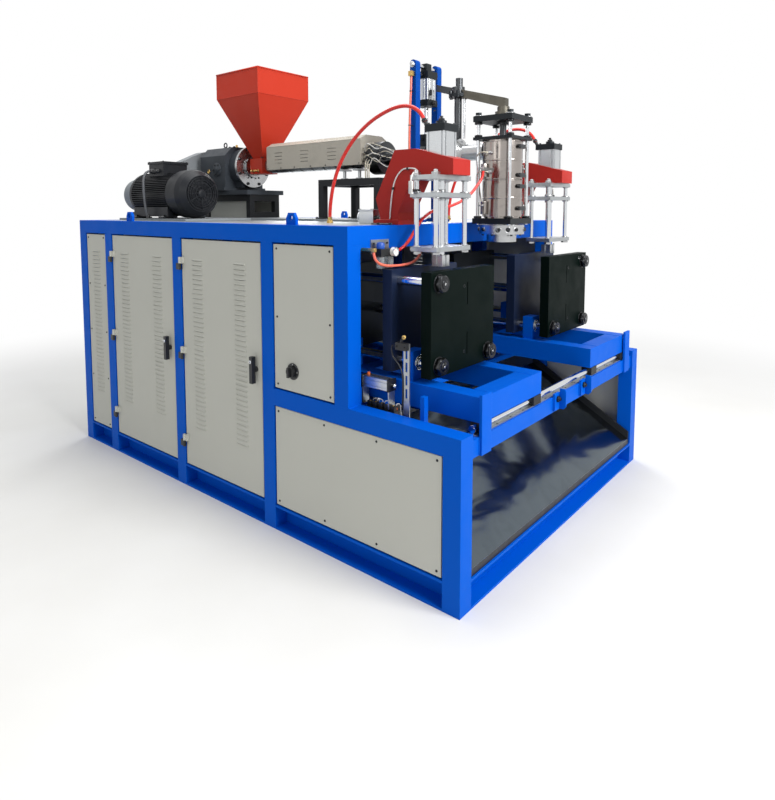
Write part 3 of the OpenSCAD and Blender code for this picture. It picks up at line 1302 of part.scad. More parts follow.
module electrical_panel() {
  x0 = post_x[2] + tube + 20;
  x1 = post_x[3] - 20;
  y = -y_in + 170;
  color("#c9ccc8") block([x0, y, tall_low + 60], [x1, y + 4, tall_high - 60]);
  color("#5b6064") for (z = [tall_low + 300, tall_low + 620, tall_low + 900])
    for (i = [0 : 4]) block([x0 + 40 + i * 108, y - 80, z], [x0 + 130 + i * 108, y - weld, z + 120]);
  color("#1565d8") {
    for (x = [x0, x1 - 40]) block([x, y + 4 + weld, skid_height + weld],
      [x + 40, y + 44, rail_low - weld]);
    for (z = [skid_height - 40, rail_low])
      block([post_x[2] + tube + weld, y + 4 + weld, z], [post_x[3] - weld, y + 44, z + 40]);
  }
}
module hydraulic_tank() {
  x0 = post_x[1] + tube + 30;
  x1 = post_x[2] - 30;
  color("#4b5560") {
    block([x0, -y_in + 120, skid_height + 60], [x1, -y_in + 620, skid_height + 460]);
    block([x0 + 20, -y_in + 140, skid_height + 460 + weld], [x1 - 20, -y_in + 600, skid_height + 470]);
    rod_x(x0 + 60, x0 + 330, -y_in + 340, skid_height + 470 + 105, 190);
    for (x = [x0 + 90, x0 + 260])
      block([x, -y_in + 260, skid_height + 470 + weld], [x + 40, -y_in + 420, skid_height + 490]);
    rod_z(skid_height + 470 + weld, skid_height + 560, x1 - 120, -y_in + 340, 110);
  }
  color("#1565d8") for (x = [x0 + 30, x1 - 70])
    block([x, -y_in + weld, skid_height - 30], [x + 40, y_in - weld, skid_height + 60 - weld]);
}

// Hose swept along its route with a round section
function unit(v) = v / norm(v);
function heading(p, i) = unit(p[min(i + 1, len(p) - 1)] - p[max(i - 1, 0)]);
function side_of(t) = unit(cross(abs(t[2]) > 0.9 ? [1, 0, 0] : [0, 0, 1], t));
function carried(p) = [for (i = 0, s = side_of(heading(p, 0)); i < len(p); i = i + 1,
  s = i < len(p) ? unit(s - (s * heading(p, i)) * heading(p, i)) : s) s];
function ring(c, t, s, r, n) = [for (k = [0 : n - 1])
  c + r * (cos(360 * k / n) * s + sin(360 * k / n) * cross(t, s))];
// Point on the smooth curve through four route points
function curve(a, b, c, d, t) = 0.5 * (2 * b + (c - a) * t + (2 * a - 5 * b + 4 * c - d) * t * t
  + (3 * b - a - 3 * c + d) * t * t * t);
function smooth(p, m) = concat([for (i = [0 : len(p) - 2]) for (k = [0 : m - 1])
  curve(p[max(i - 1, 0)], p[i], p[i + 1], p[min(i + 2, len(p) - 1)], k / m)], [p[len(p) - 1]]);
module hose(route, d, n) {
  p = smooth(route, 2);
  s = carried(p);
  c = len(p);
  points = [for (i = [0 : c - 1]) for (q = ring(p[i], heading(p, i), s[i], d / 2, n)) q];
  walls = [for (i = [0 : c - 2]) for (k = [0 : n - 1]) [i * n + k, i * n + (k + 1) % n,
    (i + 1) * n + (k + 1) % n, (i + 1) * n + k]];
  caps = [[for (k = [n - 1 : -1 : 0]) k], [for (k = [0 : n - 1]) (c - 1) * n + k]];
  polyhedron(points, concat(walls, caps), convexity = 10);
}
// Routes are given from the front edge of the deck
edge = [x_cabinet, 0, cabinet_height];
arc_route = [for (p = [
  [-522, 30.4], [-521.5, 55], [-518, 90], [-509, 140], [-496, 190], [-474, 248], [-445, 302],
  [-408, 354], [-360, 406], [-295, 458], [-223, 499], [-152, 526], [-90, 541], [-35, 543],
  [9, 533], [40, 515], [58, 497], [71.3, 477.5], [81.3, 460.2]
]) edge + [p[0], -station_y, p[1]]];
module hose_arc_near() color("#e23b30") hose(arc_route, 18, 8);
module hose_arc_far() color("#e23b30") mirror([0, 1, 0]) hose(arc_route, 18, 8);
post_route = [for (p = [
  [-15, 779.6], [-15.5, 750], [-19, 690], [-24, 610], [-28, 520], [-30, 430], [-30, 340],
  [-28, 250], [-23, 160], [-17, 90], [-15, 60], [-15, 40.4]
]) [lift_x, p[0] - lift_gap / 2 - lift_post, cabinet_height + p[1]]];
module hose_post() color("#e23b30") hose(post_route, 12, 8);
loop_route = [for (p = [
  [65, 90, -107.5], [65, 91, -118], [65, 96, -132], [65, 108, -146], [65, 128, -158],
  [66, 155, -166], [68, 190, -171], [71, 230, -172.5], [75, 265, -172.5], [79, 298, -170],
  [82, 322, -166], [85, 340, -160.5], [87.5, 357, -151.5], [89.3, 370, -140], [90, 378.6, -126.5],
  [90, 379.9, -112.6]
]) edge + [p[0], p[1] - y_side, p[2]]];
module hose_loop() color("#e23b30") hose(loop_route, 12, 8);
head_route = [for (p = [
  [34, -703.5, -112], [34.5, -684, -110.5], [37, -664.5, -105], [41.5, -646, -94],
  [47.5, -629, -77], [54, -613, -56], [60, -597.5, -32], [64.5, -578, -6], [67, -551, 20],
  [67.5, -518, 41], [68, -480, 57], [69, -440, 68], [74, -395, 76], [81, -350, 84], [91, -308, 96],
  [104, -268, 113], [117, -230, 138], [128, -198, 168], [137, -172, 200], [141.5, -159, 217],
  [144.3, -150.3, 238], [145, -148, 259.3]
]) edge + [p[0], p[1] * (y_side - 266) / 704, p[2]]];
module hose_head() color("#e23b30") hose(head_route, 14, 8);

base_skid();
cabinet_frame();
bed_frame();
deck_plate();
side_panels();
door_left();
door_right();
hinge_pins();
latch_left();
latch_right();
isolator_knob();
slide_rails();
chute();
air_service();
air_valves();
switch_bar();
electrical_panel();
hydraulic_tank();
shuttle_cylinders();
extruder_platform();
motor_body();
motor_fan_cover();
motor_pulley();
drive_belts();
belt_guard();
gearbox_pulley();
gearbox_housing();
extruder_stands();
feed_throat();
hopper();
extruder_screw();
barrel();
barrel_cover();
melt_adaptor();
adjuster_column();
head_plates();
head_rods();
head_body();
die_ring();
lift_posts();
lift_cylinder();
lift_rod();
blow_arms();
blow_units();
blow_pin_near();
blow_pin_far();
carriage_near();
front_platen_near();
clamp_frame_near();
rear_platen_near();
carriage_far();
front_platen_far();
clamp_frame_far();
rear_platen_far();
hose_arc_near();
hose_arc_far();
hose_post();
hose_loop();
hose_head();
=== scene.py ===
# %% [markdown]
# # Blow moulding machine
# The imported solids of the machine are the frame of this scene, and they have the right shapes and
# sizes already. What is left to do here is to give each one its finish, to add the small hardware
# that the solids leave out, to run the air hoses, and to set the light and the camera.

# %% Load the machine
import bpy
import bmesh
import json
import math
from mathutils import Matrix, Vector

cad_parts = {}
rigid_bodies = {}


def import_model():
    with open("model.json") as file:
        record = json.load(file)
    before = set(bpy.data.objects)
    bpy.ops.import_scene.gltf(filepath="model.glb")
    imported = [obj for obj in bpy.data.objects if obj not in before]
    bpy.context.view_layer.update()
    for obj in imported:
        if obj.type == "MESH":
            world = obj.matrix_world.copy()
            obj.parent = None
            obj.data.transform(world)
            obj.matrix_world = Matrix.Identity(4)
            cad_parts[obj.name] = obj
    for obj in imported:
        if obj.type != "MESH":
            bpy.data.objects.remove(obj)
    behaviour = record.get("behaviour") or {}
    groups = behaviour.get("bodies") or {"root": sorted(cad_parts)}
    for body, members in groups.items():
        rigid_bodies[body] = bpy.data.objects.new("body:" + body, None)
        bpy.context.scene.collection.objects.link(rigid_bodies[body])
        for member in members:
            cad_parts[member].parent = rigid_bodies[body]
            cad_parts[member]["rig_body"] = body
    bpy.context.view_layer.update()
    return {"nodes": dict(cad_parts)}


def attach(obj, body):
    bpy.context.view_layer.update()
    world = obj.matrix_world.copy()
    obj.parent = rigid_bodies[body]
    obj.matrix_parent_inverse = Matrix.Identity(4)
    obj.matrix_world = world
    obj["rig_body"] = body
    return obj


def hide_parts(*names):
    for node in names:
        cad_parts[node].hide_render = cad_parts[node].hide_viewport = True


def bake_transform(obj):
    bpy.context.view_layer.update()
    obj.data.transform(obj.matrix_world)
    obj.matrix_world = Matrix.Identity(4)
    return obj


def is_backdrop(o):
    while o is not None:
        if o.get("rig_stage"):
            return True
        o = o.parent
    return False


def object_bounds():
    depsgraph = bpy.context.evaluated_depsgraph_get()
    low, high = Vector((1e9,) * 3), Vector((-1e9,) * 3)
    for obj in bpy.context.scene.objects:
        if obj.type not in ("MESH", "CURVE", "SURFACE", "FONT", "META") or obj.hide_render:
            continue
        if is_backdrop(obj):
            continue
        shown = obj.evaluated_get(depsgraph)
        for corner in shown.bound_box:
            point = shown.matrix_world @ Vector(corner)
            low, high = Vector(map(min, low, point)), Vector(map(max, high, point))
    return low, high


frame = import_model()

# %% [markdown]
# ## Camera
# The photograph looks at the front right corner from eye height. The lens, place and tilt could be
# guessed and nudged, but they were worked out from the perspective of the machine's own straight
# edges, so that every piece falls where the photograph has it. The shift moves the frame without
# tilting the camera, which keeps the posts upright.

# %% Camera
WIDE, HIGH = 775, 800                 # pixels of the picture
FOCAL = 621.72                        # pixels, from the vanishing points
AIM_X, AIM_Y = 387.56, 259.94         # the pixel that the lens points at
FILM = 36                             # mm, the long side of the film
TILT, TURN = 0.0812, 0.6903           # radians down from level, and round
camera = bpy.data.objects.new("camera", bpy.data.cameras.new("camera"))
bpy.context.scene.collection.objects.link(camera)
bpy.context.scene.camera = camera
camera.data.sensor_width = FILM
camera.data.lens = FOCAL / HIGH * FILM
camera.data.shift_x = (WIDE / 2 - AIM_X) / HIGH
camera.data.shift_y = (AIM_Y - HIGH / 2) / HIGH
camera.data.clip_start = 0.05
camera.location = (2.6695, -2.8297, 1.5202)
camera.rotation_euler = (math.pi / 2 - TILT, 0, TURN)
print("lens", round(camera.data.lens, 2), "mm")

# %% [markdown]
# ## Colours and nodes
# A finish is a small network of shader nodes. Colours are read as sRGB hex, the way paint shops and
# screens give them, and turned to linear light once. `add` makes one node, with its settings and
# links. `per_mm` turns the real size of a pattern, in millimetres, into a texture scale.

# %% Colour and node helpers
def rgb(text):
    parts = [int(text[i:i + 2], 16) / 255 for i in (0, 2, 4)]
    return tuple(c / 12.92 if c <= 0.04045 else ((c + 0.055) / 1.055) ** 2.4 for c in parts) + (1.0,)


def tint(colour, k):
    return tuple(min(1, c * k) for c in colour[:3]) + (1.0,)


def per_mm(size):
    return 1000 / size


def add(tree, kind, inputs=None, **settings):
    node = tree.nodes.new("ShaderNode" + kind)
    for name, value in settings.items():
        setattr(node, name, value)
    for name, value in (inputs or {}).items():
        if isinstance(value, bpy.types.NodeSocket):
            tree.links.new(value, node.inputs[name])
        else:
            node.inputs[name].default_value = value
    return node


def new_finish(name):
    material = bpy.data.materials.new(name)
    material.use_nodes = True
    material.node_tree.nodes.clear()
    return material, material.node_tree


print("an 80 mm pattern has scale", per_mm(80))

# %% [markdown]
# ## Sprayed enamel
# The frame, arms, platens and covers are sheet and tube steel under sprayed enamel. A flat colour
# would look like plastic, so the coat gets four things: a slow drift of tone over half a metre, the
# orange peel of the spray, oily patches where hands and grease reach, and paint that is thinner and
# paler along worn edges. The edge mask compares the true normal with one that a bevel has rounded.
# Old shop enamel shines less than new lacquer, so its mirror strength is set low.

# %% Enamel
PEEL = 2.4       # mm between the dimples of the spray coat
DRIFT = 430      # mm over which the tone of a sheet changes
PATCH = 110      # mm across an oily patch
EDGE = 0.0015    # m, the rounding of a folded or sawn edge


def enamel(name, colour, rough=0.38, peel=0.10, drift=0.06, grime=0.0, metallic=0.0, worn=0.25, gloss=0.22):
    material, tree = new_finish(name)
    base = rgb(colour)
    place = add(tree, "TexCoord").outputs["Object"]
    cloud = add(tree, "TexNoise", {"Vector": place, "Scale": per_mm(DRIFT), "Detail": 3.0}).outputs["Fac"]
    shade = add(tree, "Mix", {0: cloud, 6: tint(base, 1 - drift), 7: tint(base, 1 + drift)},
                data_type="RGBA").outputs[2]
    patch = add(tree, "TexNoise", {"Vector": place, "Scale": per_mm(PATCH), "Detail": 8.0,
                                   "Distortion": 0.6}).outputs["Fac"]
    if grime:
        oily = add(tree, "MapRange", {"Value": patch, "From Min": 0.52, "From Max": 0.72, "To Max": grime})
        shade = add(tree, "Mix", {0: oily.outputs[0], 6: shade, 7: tint(base, 0.35)},
                    data_type="RGBA").outputs[2]
    rounded = add(tree, "Bevel", {"Radius": EDGE}, samples=4).outputs[0]
    true = add(tree, "NewGeometry").outputs["Normal"]
    turn = add(tree, "VectorMath", {0: rounded, 1: true}, operation="DOT_PRODUCT").outputs["Value"]
    edge = add(tree, "MapRange", {"Value": turn, "From Min": 0.80, "From Max": 0.97, "To Min": worn,
                                  "To Max": 0.0}).outputs[0]
    shade = add(tree, "Mix", {0: edge, 6: shade, 7: tint(base, 1.9)}, data_type="RGBA").outputs[2]
    dimples = add(tree, "TexNoise", {"Vector": place, "Scale": per_mm(PEEL), "Detail": 2.0}).outputs["Fac"]
    bump = add(tree, "Bump", {"Height": dimples, "Strength": peel, "Distance": 0.0006, "Normal": rounded})
    dull = add(tree, "MapRange", {"Value": patch, "From Min": 0.3, "From Max": 0.7, "To Min": rough - 0.05,
                                  "To Max": rough + 0.10}).outputs[0]
    shader = add(tree, "BsdfPrincipled", {"Base Color": shade, "Metallic": metallic, "Roughness": dull,
                                          "Specular IOR Level": gloss, "Normal": bump.outputs[0]})
    add(tree, "OutputMaterial", {"Surface": shader.outputs[0]})
    return material


print("spray dimples every", PEEL, "mm give the scale", round(per_mm(PEEL)))

# %% [markdown]
# ## Enamels of this machine
# Each painted piece has a coat named for its colour and for what lies under it. One enamel with a
# changed colour would be shorter, but sheet, plate and sand castings differ in peel, gloss and dirt
# as well. The values started from typical ones and were then matched to the object.

# %% Enamels of this machine
# Azure blue on the frame: bright and even, half gloss, with soft highlights along the tube edges.
BLUE = enamel("blue_enamel", "0057c4", 0.42, 0.10, 0.06, gloss=0.05)
# The same blue, darkened to its tone in shade for the lifting posts: painted shade.
BLUE_SHADE_PAINTED = enamel("blue_enamel_painted_shade", "08469e", 0.42, 0.10, 0.06, gloss=0.06)
# Powder coat on the cabinet sheets: matt warm grey with a fine even grain.
PUTTY = enamel("putty_powder_coat", "c1c1b8", 0.50, 0.16, 0.025, worn=0.12)
# Warm grey enamel on the barrel cover: handled, so a little soiled.
COVER = enamel("warm_grey_enamel", "b3ada0", 0.48, 0.14, 0.04, grime=0.14)
# Orange red enamel on the hopper sheet.
HOPPER = enamel("orange_red_enamel", "c0351f", 0.42, 0.12, 0.05)
# Crimson enamel on the plate arms: deep and half gloss, greasy by the cylinders.
ARM = enamel("crimson_enamel", "a8241c", 0.42, 0.12, 0.06, grime=0.12)
# Charcoal enamel over a ribbed iron casting: coarse peel.
MOTOR = enamel("motor_charcoal_enamel", "1b1d21", 0.36, 0.22, 0.10, grime=0.15)
# Slate enamel over sand castings.
GEARBOX = enamel("slate_enamel", "3c4147", 0.42, 0.32, 0.10, grime=0.2)
# Black oxide on thick plate: half metal, with rubbed corners.
BLACK_PLATE = enamel("black_oxide_plate", "24282b", 0.40, 0.10, 0.15, grime=0.2, metallic=0.5, worn=0.5)
# Black green enamel on the platens: nearly black, half matt.
PLATEN = enamel("black_green_enamel", "050f0c", 0.46, 0.14, 0.12, grime=0.1, gloss=0.04)
# Navy enamel on the rear platens.
NAVY = enamel("navy_enamel", "131f38", 0.42, 0.12, 0.10)
# Black enamel on stands and bearing blocks.
STAND = enamel("black_enamel", "1a1c1f", 0.42, 0.15, 0.10)
# Grey primer on the tilting plate and the belt guard.
GREY_PLATE = enamel("grey_primer", "868b8e", 0.5, 0.12, 0.08, grime=0.2)
# Blue grey enamel on the oil tank.
TANK = enamel("tank_grey_enamel", "4b5560", 0.42, 0.12, 0.08)
print("enamels:", len(bpy.data.materials))

# %% [markdown]
# ## Bare metals
# Turned, ground, rolled and plated metals differ in their tool marks. The marks are a noise that is
# stretched along the way the tool ran. Real grinding lines are about 0.1 mm apart, too fine for the
# picture, so they are drawn a few millimetres apart. Rolled sheet adds long soft waves, which bend
# what it mirrors, and shop floor metal has brown oily stains.

# %% Metal
LINE = 6.2       # mm between drawn tool marks, for 0.1 mm real ones
STAIN = 90       # mm across an oil stain
SWELL = 310      # mm from wave to wave in rolled sheet
TONE = 200       # mm over which the tone of bare metal changes
BREAK = 0.001    # m, the broken edge of a machined part


def metal(name, colour, rough=0.25, way=(1, 1, 1), depth=0.12, wave=0.0, drift=0.08, soil=0.0):
    material, tree = new_finish(name)
    base = rgb(colour)
    place = add(tree, "TexCoord").outputs["Object"]
    along = add(tree, "Mapping", {"Vector": place, "Scale": way}).outputs[0]
    marks = add(tree, "TexNoise", {"Vector": along, "Scale": per_mm(LINE), "Detail": 3.0}).outputs["Fac"]
    cloud = add(tree, "TexNoise", {"Vector": place, "Scale": per_mm(TONE), "Detail": 5.0,
                                   "Distortion": 0.4}).outputs["Fac"]
    shade = add(tree, "Mix", {0: cloud, 6: tint(base, 1 - drift), 7: tint(base, 1 + drift * 0.5)},
                data_type="RGBA").outputs[2]
    if soil:
        stain = add(tree, "TexNoise", {"Vector": place, "Scale": per_mm(STAIN), "Detail": 9.0,
                                       "Distortion": 1.2}).outputs["Fac"]
        oily = add(tree, "MapRange", {"Value": stain, "From Min": 0.5, "From Max": 0.75, "To Max": soil})
        shade = add(tree, "Mix", {0: oily.outputs[0], 6: shade, 7: tint(base, 0.28)},
                    data_type="RGBA").outputs[2]
    normal = add(tree, "Bevel", {"Radius": BREAK}, samples=4).outputs[0]
    if wave:
        long = add(tree, "Mapping", {"Vector": place, "Scale": (1, 0.5, 1)}).outputs[0]
        swell = add(tree, "TexNoise", {"Vector": long, "Scale": per_mm(SWELL), "Detail": 2.0,
                                       "Distortion": 0.8}).outputs["Fac"]
        normal = add(tree, "Bump", {"Height": swell, "Strength": wave, "Distance": 0.02,
                                    "Normal": normal}).outputs[0]
    bump = add(tree, "Bump", {"Height": marks, "Strength": depth, "Distance": 0.0004, "Normal": normal})
    dull = add(tree, "MapRange", {"Value": marks, "From Min": 0.3, "From Max": 0.7,
                                  "To Min": max(0.03, rough - 0.07), "To Max": rough + 0.10}).outputs[0]
    shader = add(tree, "BsdfPrincipled", {"Base Color": shade, "Metallic": 1.0, "Roughness": dull,
                                          "Normal": bump.outputs[0]})
    add(tree, "OutputMaterial", {"Surface": shader.outputs[0]})
    return material


print("tool marks every", LINE, "mm give the scale", round(per_mm(LINE)))

# %% [markdown]
# ## Metals of this machine
# The bare metals run from clean chrome to oiled steel. The way of the tool is given as three stretch
# factors: the large one is the axis across which the marks follow each other closely.

# %% Metals of this machine
# Rolled mild steel on the deck: a dull even grey with oil stains.
DECK = metal("rolled_deck_steel", "a2a7a9", 0.42, (1, 8, 1), 0.1, soil=0.18)
# Bright rolled stainless on the chute: a dark mirror with long waves.
CHUTE = metal("bright_rolled_stainless", "616a71", 0.14, (1, 14, 1), 0.05, wave=0.8, soil=0.2)
# Hard chrome on rods and rails: an almost clean mirror.
CHROME = metal("hard_chrome", "d5d8db", 0.12, (1, 1, 1), 0.02, drift=0.03)
# Steel turned about an upright axis: rings of fine light and dark.
BRIGHT = metal("bright_turned_steel", "b9babb", 0.24, (1, 1, 22), 0.14, soil=0.2)
# Steel turned about a lying axis.
TURNED = metal("steel_turned_lengthways", "b2b3b4", 0.26, (22, 1, 1), 0.14, soil=0.25)
# Stainless strip rolled round the heaters: polished, a little wavy and heat stained.
BAND = metal("stainless_heater_strip", "a39c97", 0.17, (1, 1, 6), 0.05, wave=0.3, soil=0.25)
# Zinc plate: pale, half matt.
ZINC = metal("zinc_plate", "b0b4b6", 0.34, (1, 5, 1), 0.08, soil=0.25)
# Clear anodised aluminium profile: pale and silky along the profile.
ALU = metal("anodised_aluminium", "c8cbcd", 0.30, (1, 1, 16), 0.05, drift=0.03)
# Steel under old oil: dark and half bright.
DARK_STEEL = metal("oiled_steel", "4a4c4e", 0.32, (1, 1, 9), 0.12, soil=0.5)
# Galvanised conduit that has gone dull: warm grey.
CONDUIT = metal("weathered_galvanised_steel", "605d55", 0.46, (6, 1, 1), 0.10, soil=0.35)
# Turned cast iron wheels: dark grey.
CAST = metal("turned_cast_iron", "5a5c5e", 0.38, (18, 1, 1), 0.2, soil=0.3)
# Nickel brass fittings: pale yellow.
BRASS = metal("nickel_brass", "c8a766", 0.28, depth=0.06)
# Black oxide screws: dark metal with a soft shine.
BOLT = metal("black_oxide_screw", "3a3b3d", 0.30, depth=0.08)
print("finishes so far:", len(bpy.data.materials))

# %% [markdown]
# ## Plastic, rubber and sleeve
# Hoses are extruded polyurethane, knobs and plugs are moulded nylon, the belts are rubber and the
# heater wires wear a woven glass fibre sleeve. They share a network: a slight drift of colour, a fine
# grain, and a sheen where there is a fibre nap. The moulding grain is 0.3 mm, drawn at 1.4 mm.

# %% Plastic
GRAIN = 1.4      # mm of drawn moulding grain, for 0.3 mm real grain
FADE = 160       # mm over which the colour of a moulding changes
SMEAR = 40       # mm across the smear of a hand


def plastic(name, colour, rough=0.42, grain=0.12, sheen=0.0, size=GRAIN, drift=0.05):
    material, tree = new_finish(name)
    base = rgb(colour)
    place = add(tree, "TexCoord").outputs["Object"]
    cloud = add(tree, "TexNoise", {"Vector": place, "Scale": per_mm(FADE), "Detail": 3.0}).outputs["Fac"]
    shade = add(tree, "Mix", {0: cloud, 6: tint(base, 1 - drift), 7: tint(base, 1 + drift)},
                data_type="RGBA").outputs[2]
    fine = add(tree, "TexNoise", {"Vector": place, "Scale": per_mm(size), "Detail": 2.0}).outputs["Fac"]
    bump = add(tree, "Bump", {"Height": fine, "Strength": grain, "Distance": 0.0003})
    smear = add(tree, "TexNoise", {"Vector": place, "Scale": per_mm(SMEAR), "Detail": 4.0}).outputs["Fac"]
    dull = add(tree, "MapRange", {"Value": smear, "From Min": 0.3, "From Max": 0.7, "To Min": rough - 0.06,
                                  "To Max": rough + 0.08}).outputs[0]
    shader = add(tree, "BsdfPrincipled", {"Base Color": shade, "Roughness": dull, "Sheen Weight": sheen,
                                          "Normal": bump.outputs[0]})
    add(tree, "OutputMaterial", {"Surface": shader.outputs[0]})
    return material


print("smears", SMEAR, "mm across have scale", per_mm(SMEAR))

# %% [markdown]
# ## Plastics of this machine
# A polyurethane hose is glossy, a moulded cap half matt, and a woven sleeve matt with a nap. The same
# network gives them all, because only the grain, the gloss and the sheen differ.

# %% Plastics of this machine
# Moulded nylon: black, fine grained, half matt.
BLACK = plastic("moulded_black_nylon", "17181a", 0.42)
# Belt rubber: black and matt.
RUBBER = plastic("belt_rubber", "131314", 0.62, 0.25, 0.1, 2.5)
# Polyurethane hose, solid red: wet looking.
HOSE = plastic("red_polyurethane_hose", "d8281f", 0.26, 0.05)
# The same hose, sun faded to salmon.
HOSE_SOFT = plastic("salmon_polyurethane_hose", "e2705a", 0.30, 0.05)
# White wire insulation: clean and waxy.
WIRE = plastic("white_wire_sheath", "dcdad4", 0.40, 0.08)
# Grey cable sheath: matt.
GREY_CABLE = plastic("grey_cable_sheath", "4d4f52", 0.45, 0.08)
# Enamelled dial: bright and even.
DIAL = plastic("white_dial", "eeeeea", 0.35, 0.02)
# Blue moulded cap on the filter.
BLUE_CAP = plastic("blue_moulded_cap", "1d4ea8", 0.35, 0.08)
# Orange push-in ring on an air port.
ORANGE = plastic("orange_moulded_cap", "e0661c", 0.35, 0.06)
# Red moulded clip.
RED_CLIP = plastic("red_moulded_clip", "c8241c", 0.38, 0.06)
# Woven glass fibre sleeve: cream, matt, with a nap.
SLEEVE = plastic("glass_fibre_sleeve", "c9c2ae", 0.75, 0.5, 0.3, 3.8, 0.15)
print("finishes so far:", len(bpy.data.materials))

# %% [markdown]
# ## Clear bowls
# The bowls of the filter and the lubricator are moulded polycarbonate. Glass would be too clean, so
# a quarter of the light is scattered at the surface and a moulded ripple bends what is seen
# through it. Its index of refraction is that of polycarbonate.

# %% Clear polycarbonate
RIPPLE = 25      # mm from ripple to ripple
BOWL, tree = new_finish("clear_polycarbonate")
ripple = add(tree, "TexNoise", {"Vector": add(tree, "TexCoord").outputs["Object"], "Scale": per_mm(RIPPLE)})
soft = add(tree, "Bump", {"Height": ripple.outputs["Fac"], "Strength": 0.04, "Distance": 0.001})
clear = add(tree, "BsdfPrincipled", {"Base Color": rgb("cfd8dc"), "Roughness": 0.08, "IOR": 1.58,
                                     "Transmission Weight": 0.75, "Normal": soft.outputs[0]})
add(tree, "OutputMaterial", {"Surface": clear.outputs[0]})
print("finishes:", len(bpy.data.materials))

# %% [markdown]
# ## Dressing the solids
# Each solid keeps its shape and takes a finish. Some hold several materials in one mesh, such as a
# black cylinder head on an aluminium barrel. Cutting the mesh up would part it from the frame, so a
# test on the middle of each face picks its finish instead: the last test that is true wins. The
# numbers in the tests are planes in metres that lie between one solid of the piece and the next.

# %% Dress
def dress(names, base, *others):
    for name in names.split():
        mesh = frame["nodes"][name].data
        mesh.materials.clear()
        for material in [base] + [m for m, test in others]:
            mesh.materials.append(material)
        for face in mesh.polygons:
            face.material_index = 0
            for k, (material, test) in enumerate(others):
                if test(*face.center):
                    face.material_index = k + 1
        print(name, "wears", base.name, *[m.name for m, test in others])


# %% [markdown]
# ## Cabinet and bed
# Welded blue tube, putty coloured sheets and black nylon fittings. The deck, the chute and the slide
# rails are bare metal, because whatever walks, slides or runs on them would rub off any paint.

# %% Dress the cabinet and the bed
dress("base_skid cabinet_frame bed_frame", BLUE)
dress("deck_plate", DECK, (BRASS, lambda x, y, z: z > 1.4505))
dress("side_panels", PUTTY, (BLACK, lambda x, y, z: y > 0.9715))
dress("door_left door_right", PUTTY)
dress("hinge_pins latch_left latch_right isolator_knob", BLACK)
dress("slide_rails", CHROME, (ZINC, lambda x, y, z: z < 0.662))
dress("chute", CHUTE, (BLUE, lambda x, y, z: x < 0.8805 and abs(y) > 0.8535 and z < 0.498),
      (BLACK, lambda x, y, z: abs(y) > 0.8735 and x > 0.882 or z < 0.1498 and x > 1.45))

# %% [markdown]
# ## Air, electric and oil
# Bought units come in colours of their own: black housings, zinc brackets, clear bowls and aluminium
# bars. They give most of the small contrasts at the open end of the cabinet.

# %% Dress the air, electric and oil units
dress("air_service", BLACK, (ZINC, lambda x, y, z: x < 0.9264 and -0.832 < y < -0.708),
      (BRASS, lambda x, y, z: y < -0.85 or y > -0.7199),
      (BOWL, lambda x, y, z: z < 1.3215 and x > 0.93),
      (DIAL, lambda x, y, z: x > 0.976 and y > -0.79))
dress("air_valves", BLACK, (ALU, lambda x, y, z: z < 0.6372))
dress("switch_bar", ZINC, (BLACK, lambda x, y, z: z > 0.945 and y < -0.8531),
      (BLUE, lambda x, y, z: x > 1.2))
dress("electrical_panel", PUTTY, (BLACK, lambda x, y, z: y < -0.7201),
      (BLUE, lambda x, y, z: y > -0.7159))
dress("hydraulic_tank", TANK, (BLUE, lambda x, y, z: z < 0.1799),
      (MOTOR, lambda x, y, z: z > 0.5902))
dress("shuttle_cylinders", ALU, (BLUE, lambda x, y, z: z < 0.6149))

# %% [markdown]
# ## Extruder
# Motor, gearbox, hopper and barrel stand on one tilting plate. The castings are dark and coarse, the
# hopper is the one bright piece, and the gearbox shows a turned flange where the throat begins.

# %% Dress the extruder
dress("extruder_platform belt_guard", GREY_PLATE)
dress("motor_body motor_fan_cover", MOTOR)
dress("motor_pulley gearbox_pulley", CAST)
dress("drive_belts", RUBBER)
dress("gearbox_housing", GEARBOX, (TURNED, lambda x, y, z: x > -0.9245 and abs(y) < 0.16))
# The side sheets of the stands wear the pale putty coat so that they look lit where they stand in shade:
# painted light.
dress("extruder_stands", STAND, (PUTTY, lambda x, y, z: 0.1095 < abs(y) < 0.1145 and z < 1.58),
      (GEARBOX, lambda x, y, z: 1.6222 < z < 1.6524), (ZINC, lambda x, y, z: z > 1.6981))
dress("feed_throat", HOPPER, (TURNED, lambda x, y, z: x < -0.8875))
dress("hopper", HOPPER)
dress("extruder_screw", BRIGHT)
dress("barrel", TURNED, (DARK_STEEL, lambda x, y, z: x > 0.2425))
dress("barrel_cover", COVER)

# %% [markdown]
# ## Melt pipe, lifting gear and die head
# Hot pieces are never painted: they are oiled or turned steel with stainless strip round them. The
# lift rod and the head rods are chromed, and what clamps them is black plate.

# %% Dress the melt pipe, the lifting gear and the head
dress("melt_adaptor", TURNED, (DARK_STEEL, lambda x, y, z: x < 0.79),
      (BLACK_PLATE, lambda x, y, z: 0.577 < x < 0.639 and (z > 1.86 or abs(y) > 0.03)))
dress("adjuster_column", DARK_STEEL, (CONDUIT, lambda x, y, z: x > 0.88 or z > 2.215),
      (BLACK_PLATE, lambda x, y, z: 2.08 < z < 2.13 and x < 0.88),
      (CHROME, lambda x, y, z: 0.8525 < x < 0.8655 and z < 2.11 and abs(y) < 0.0065))
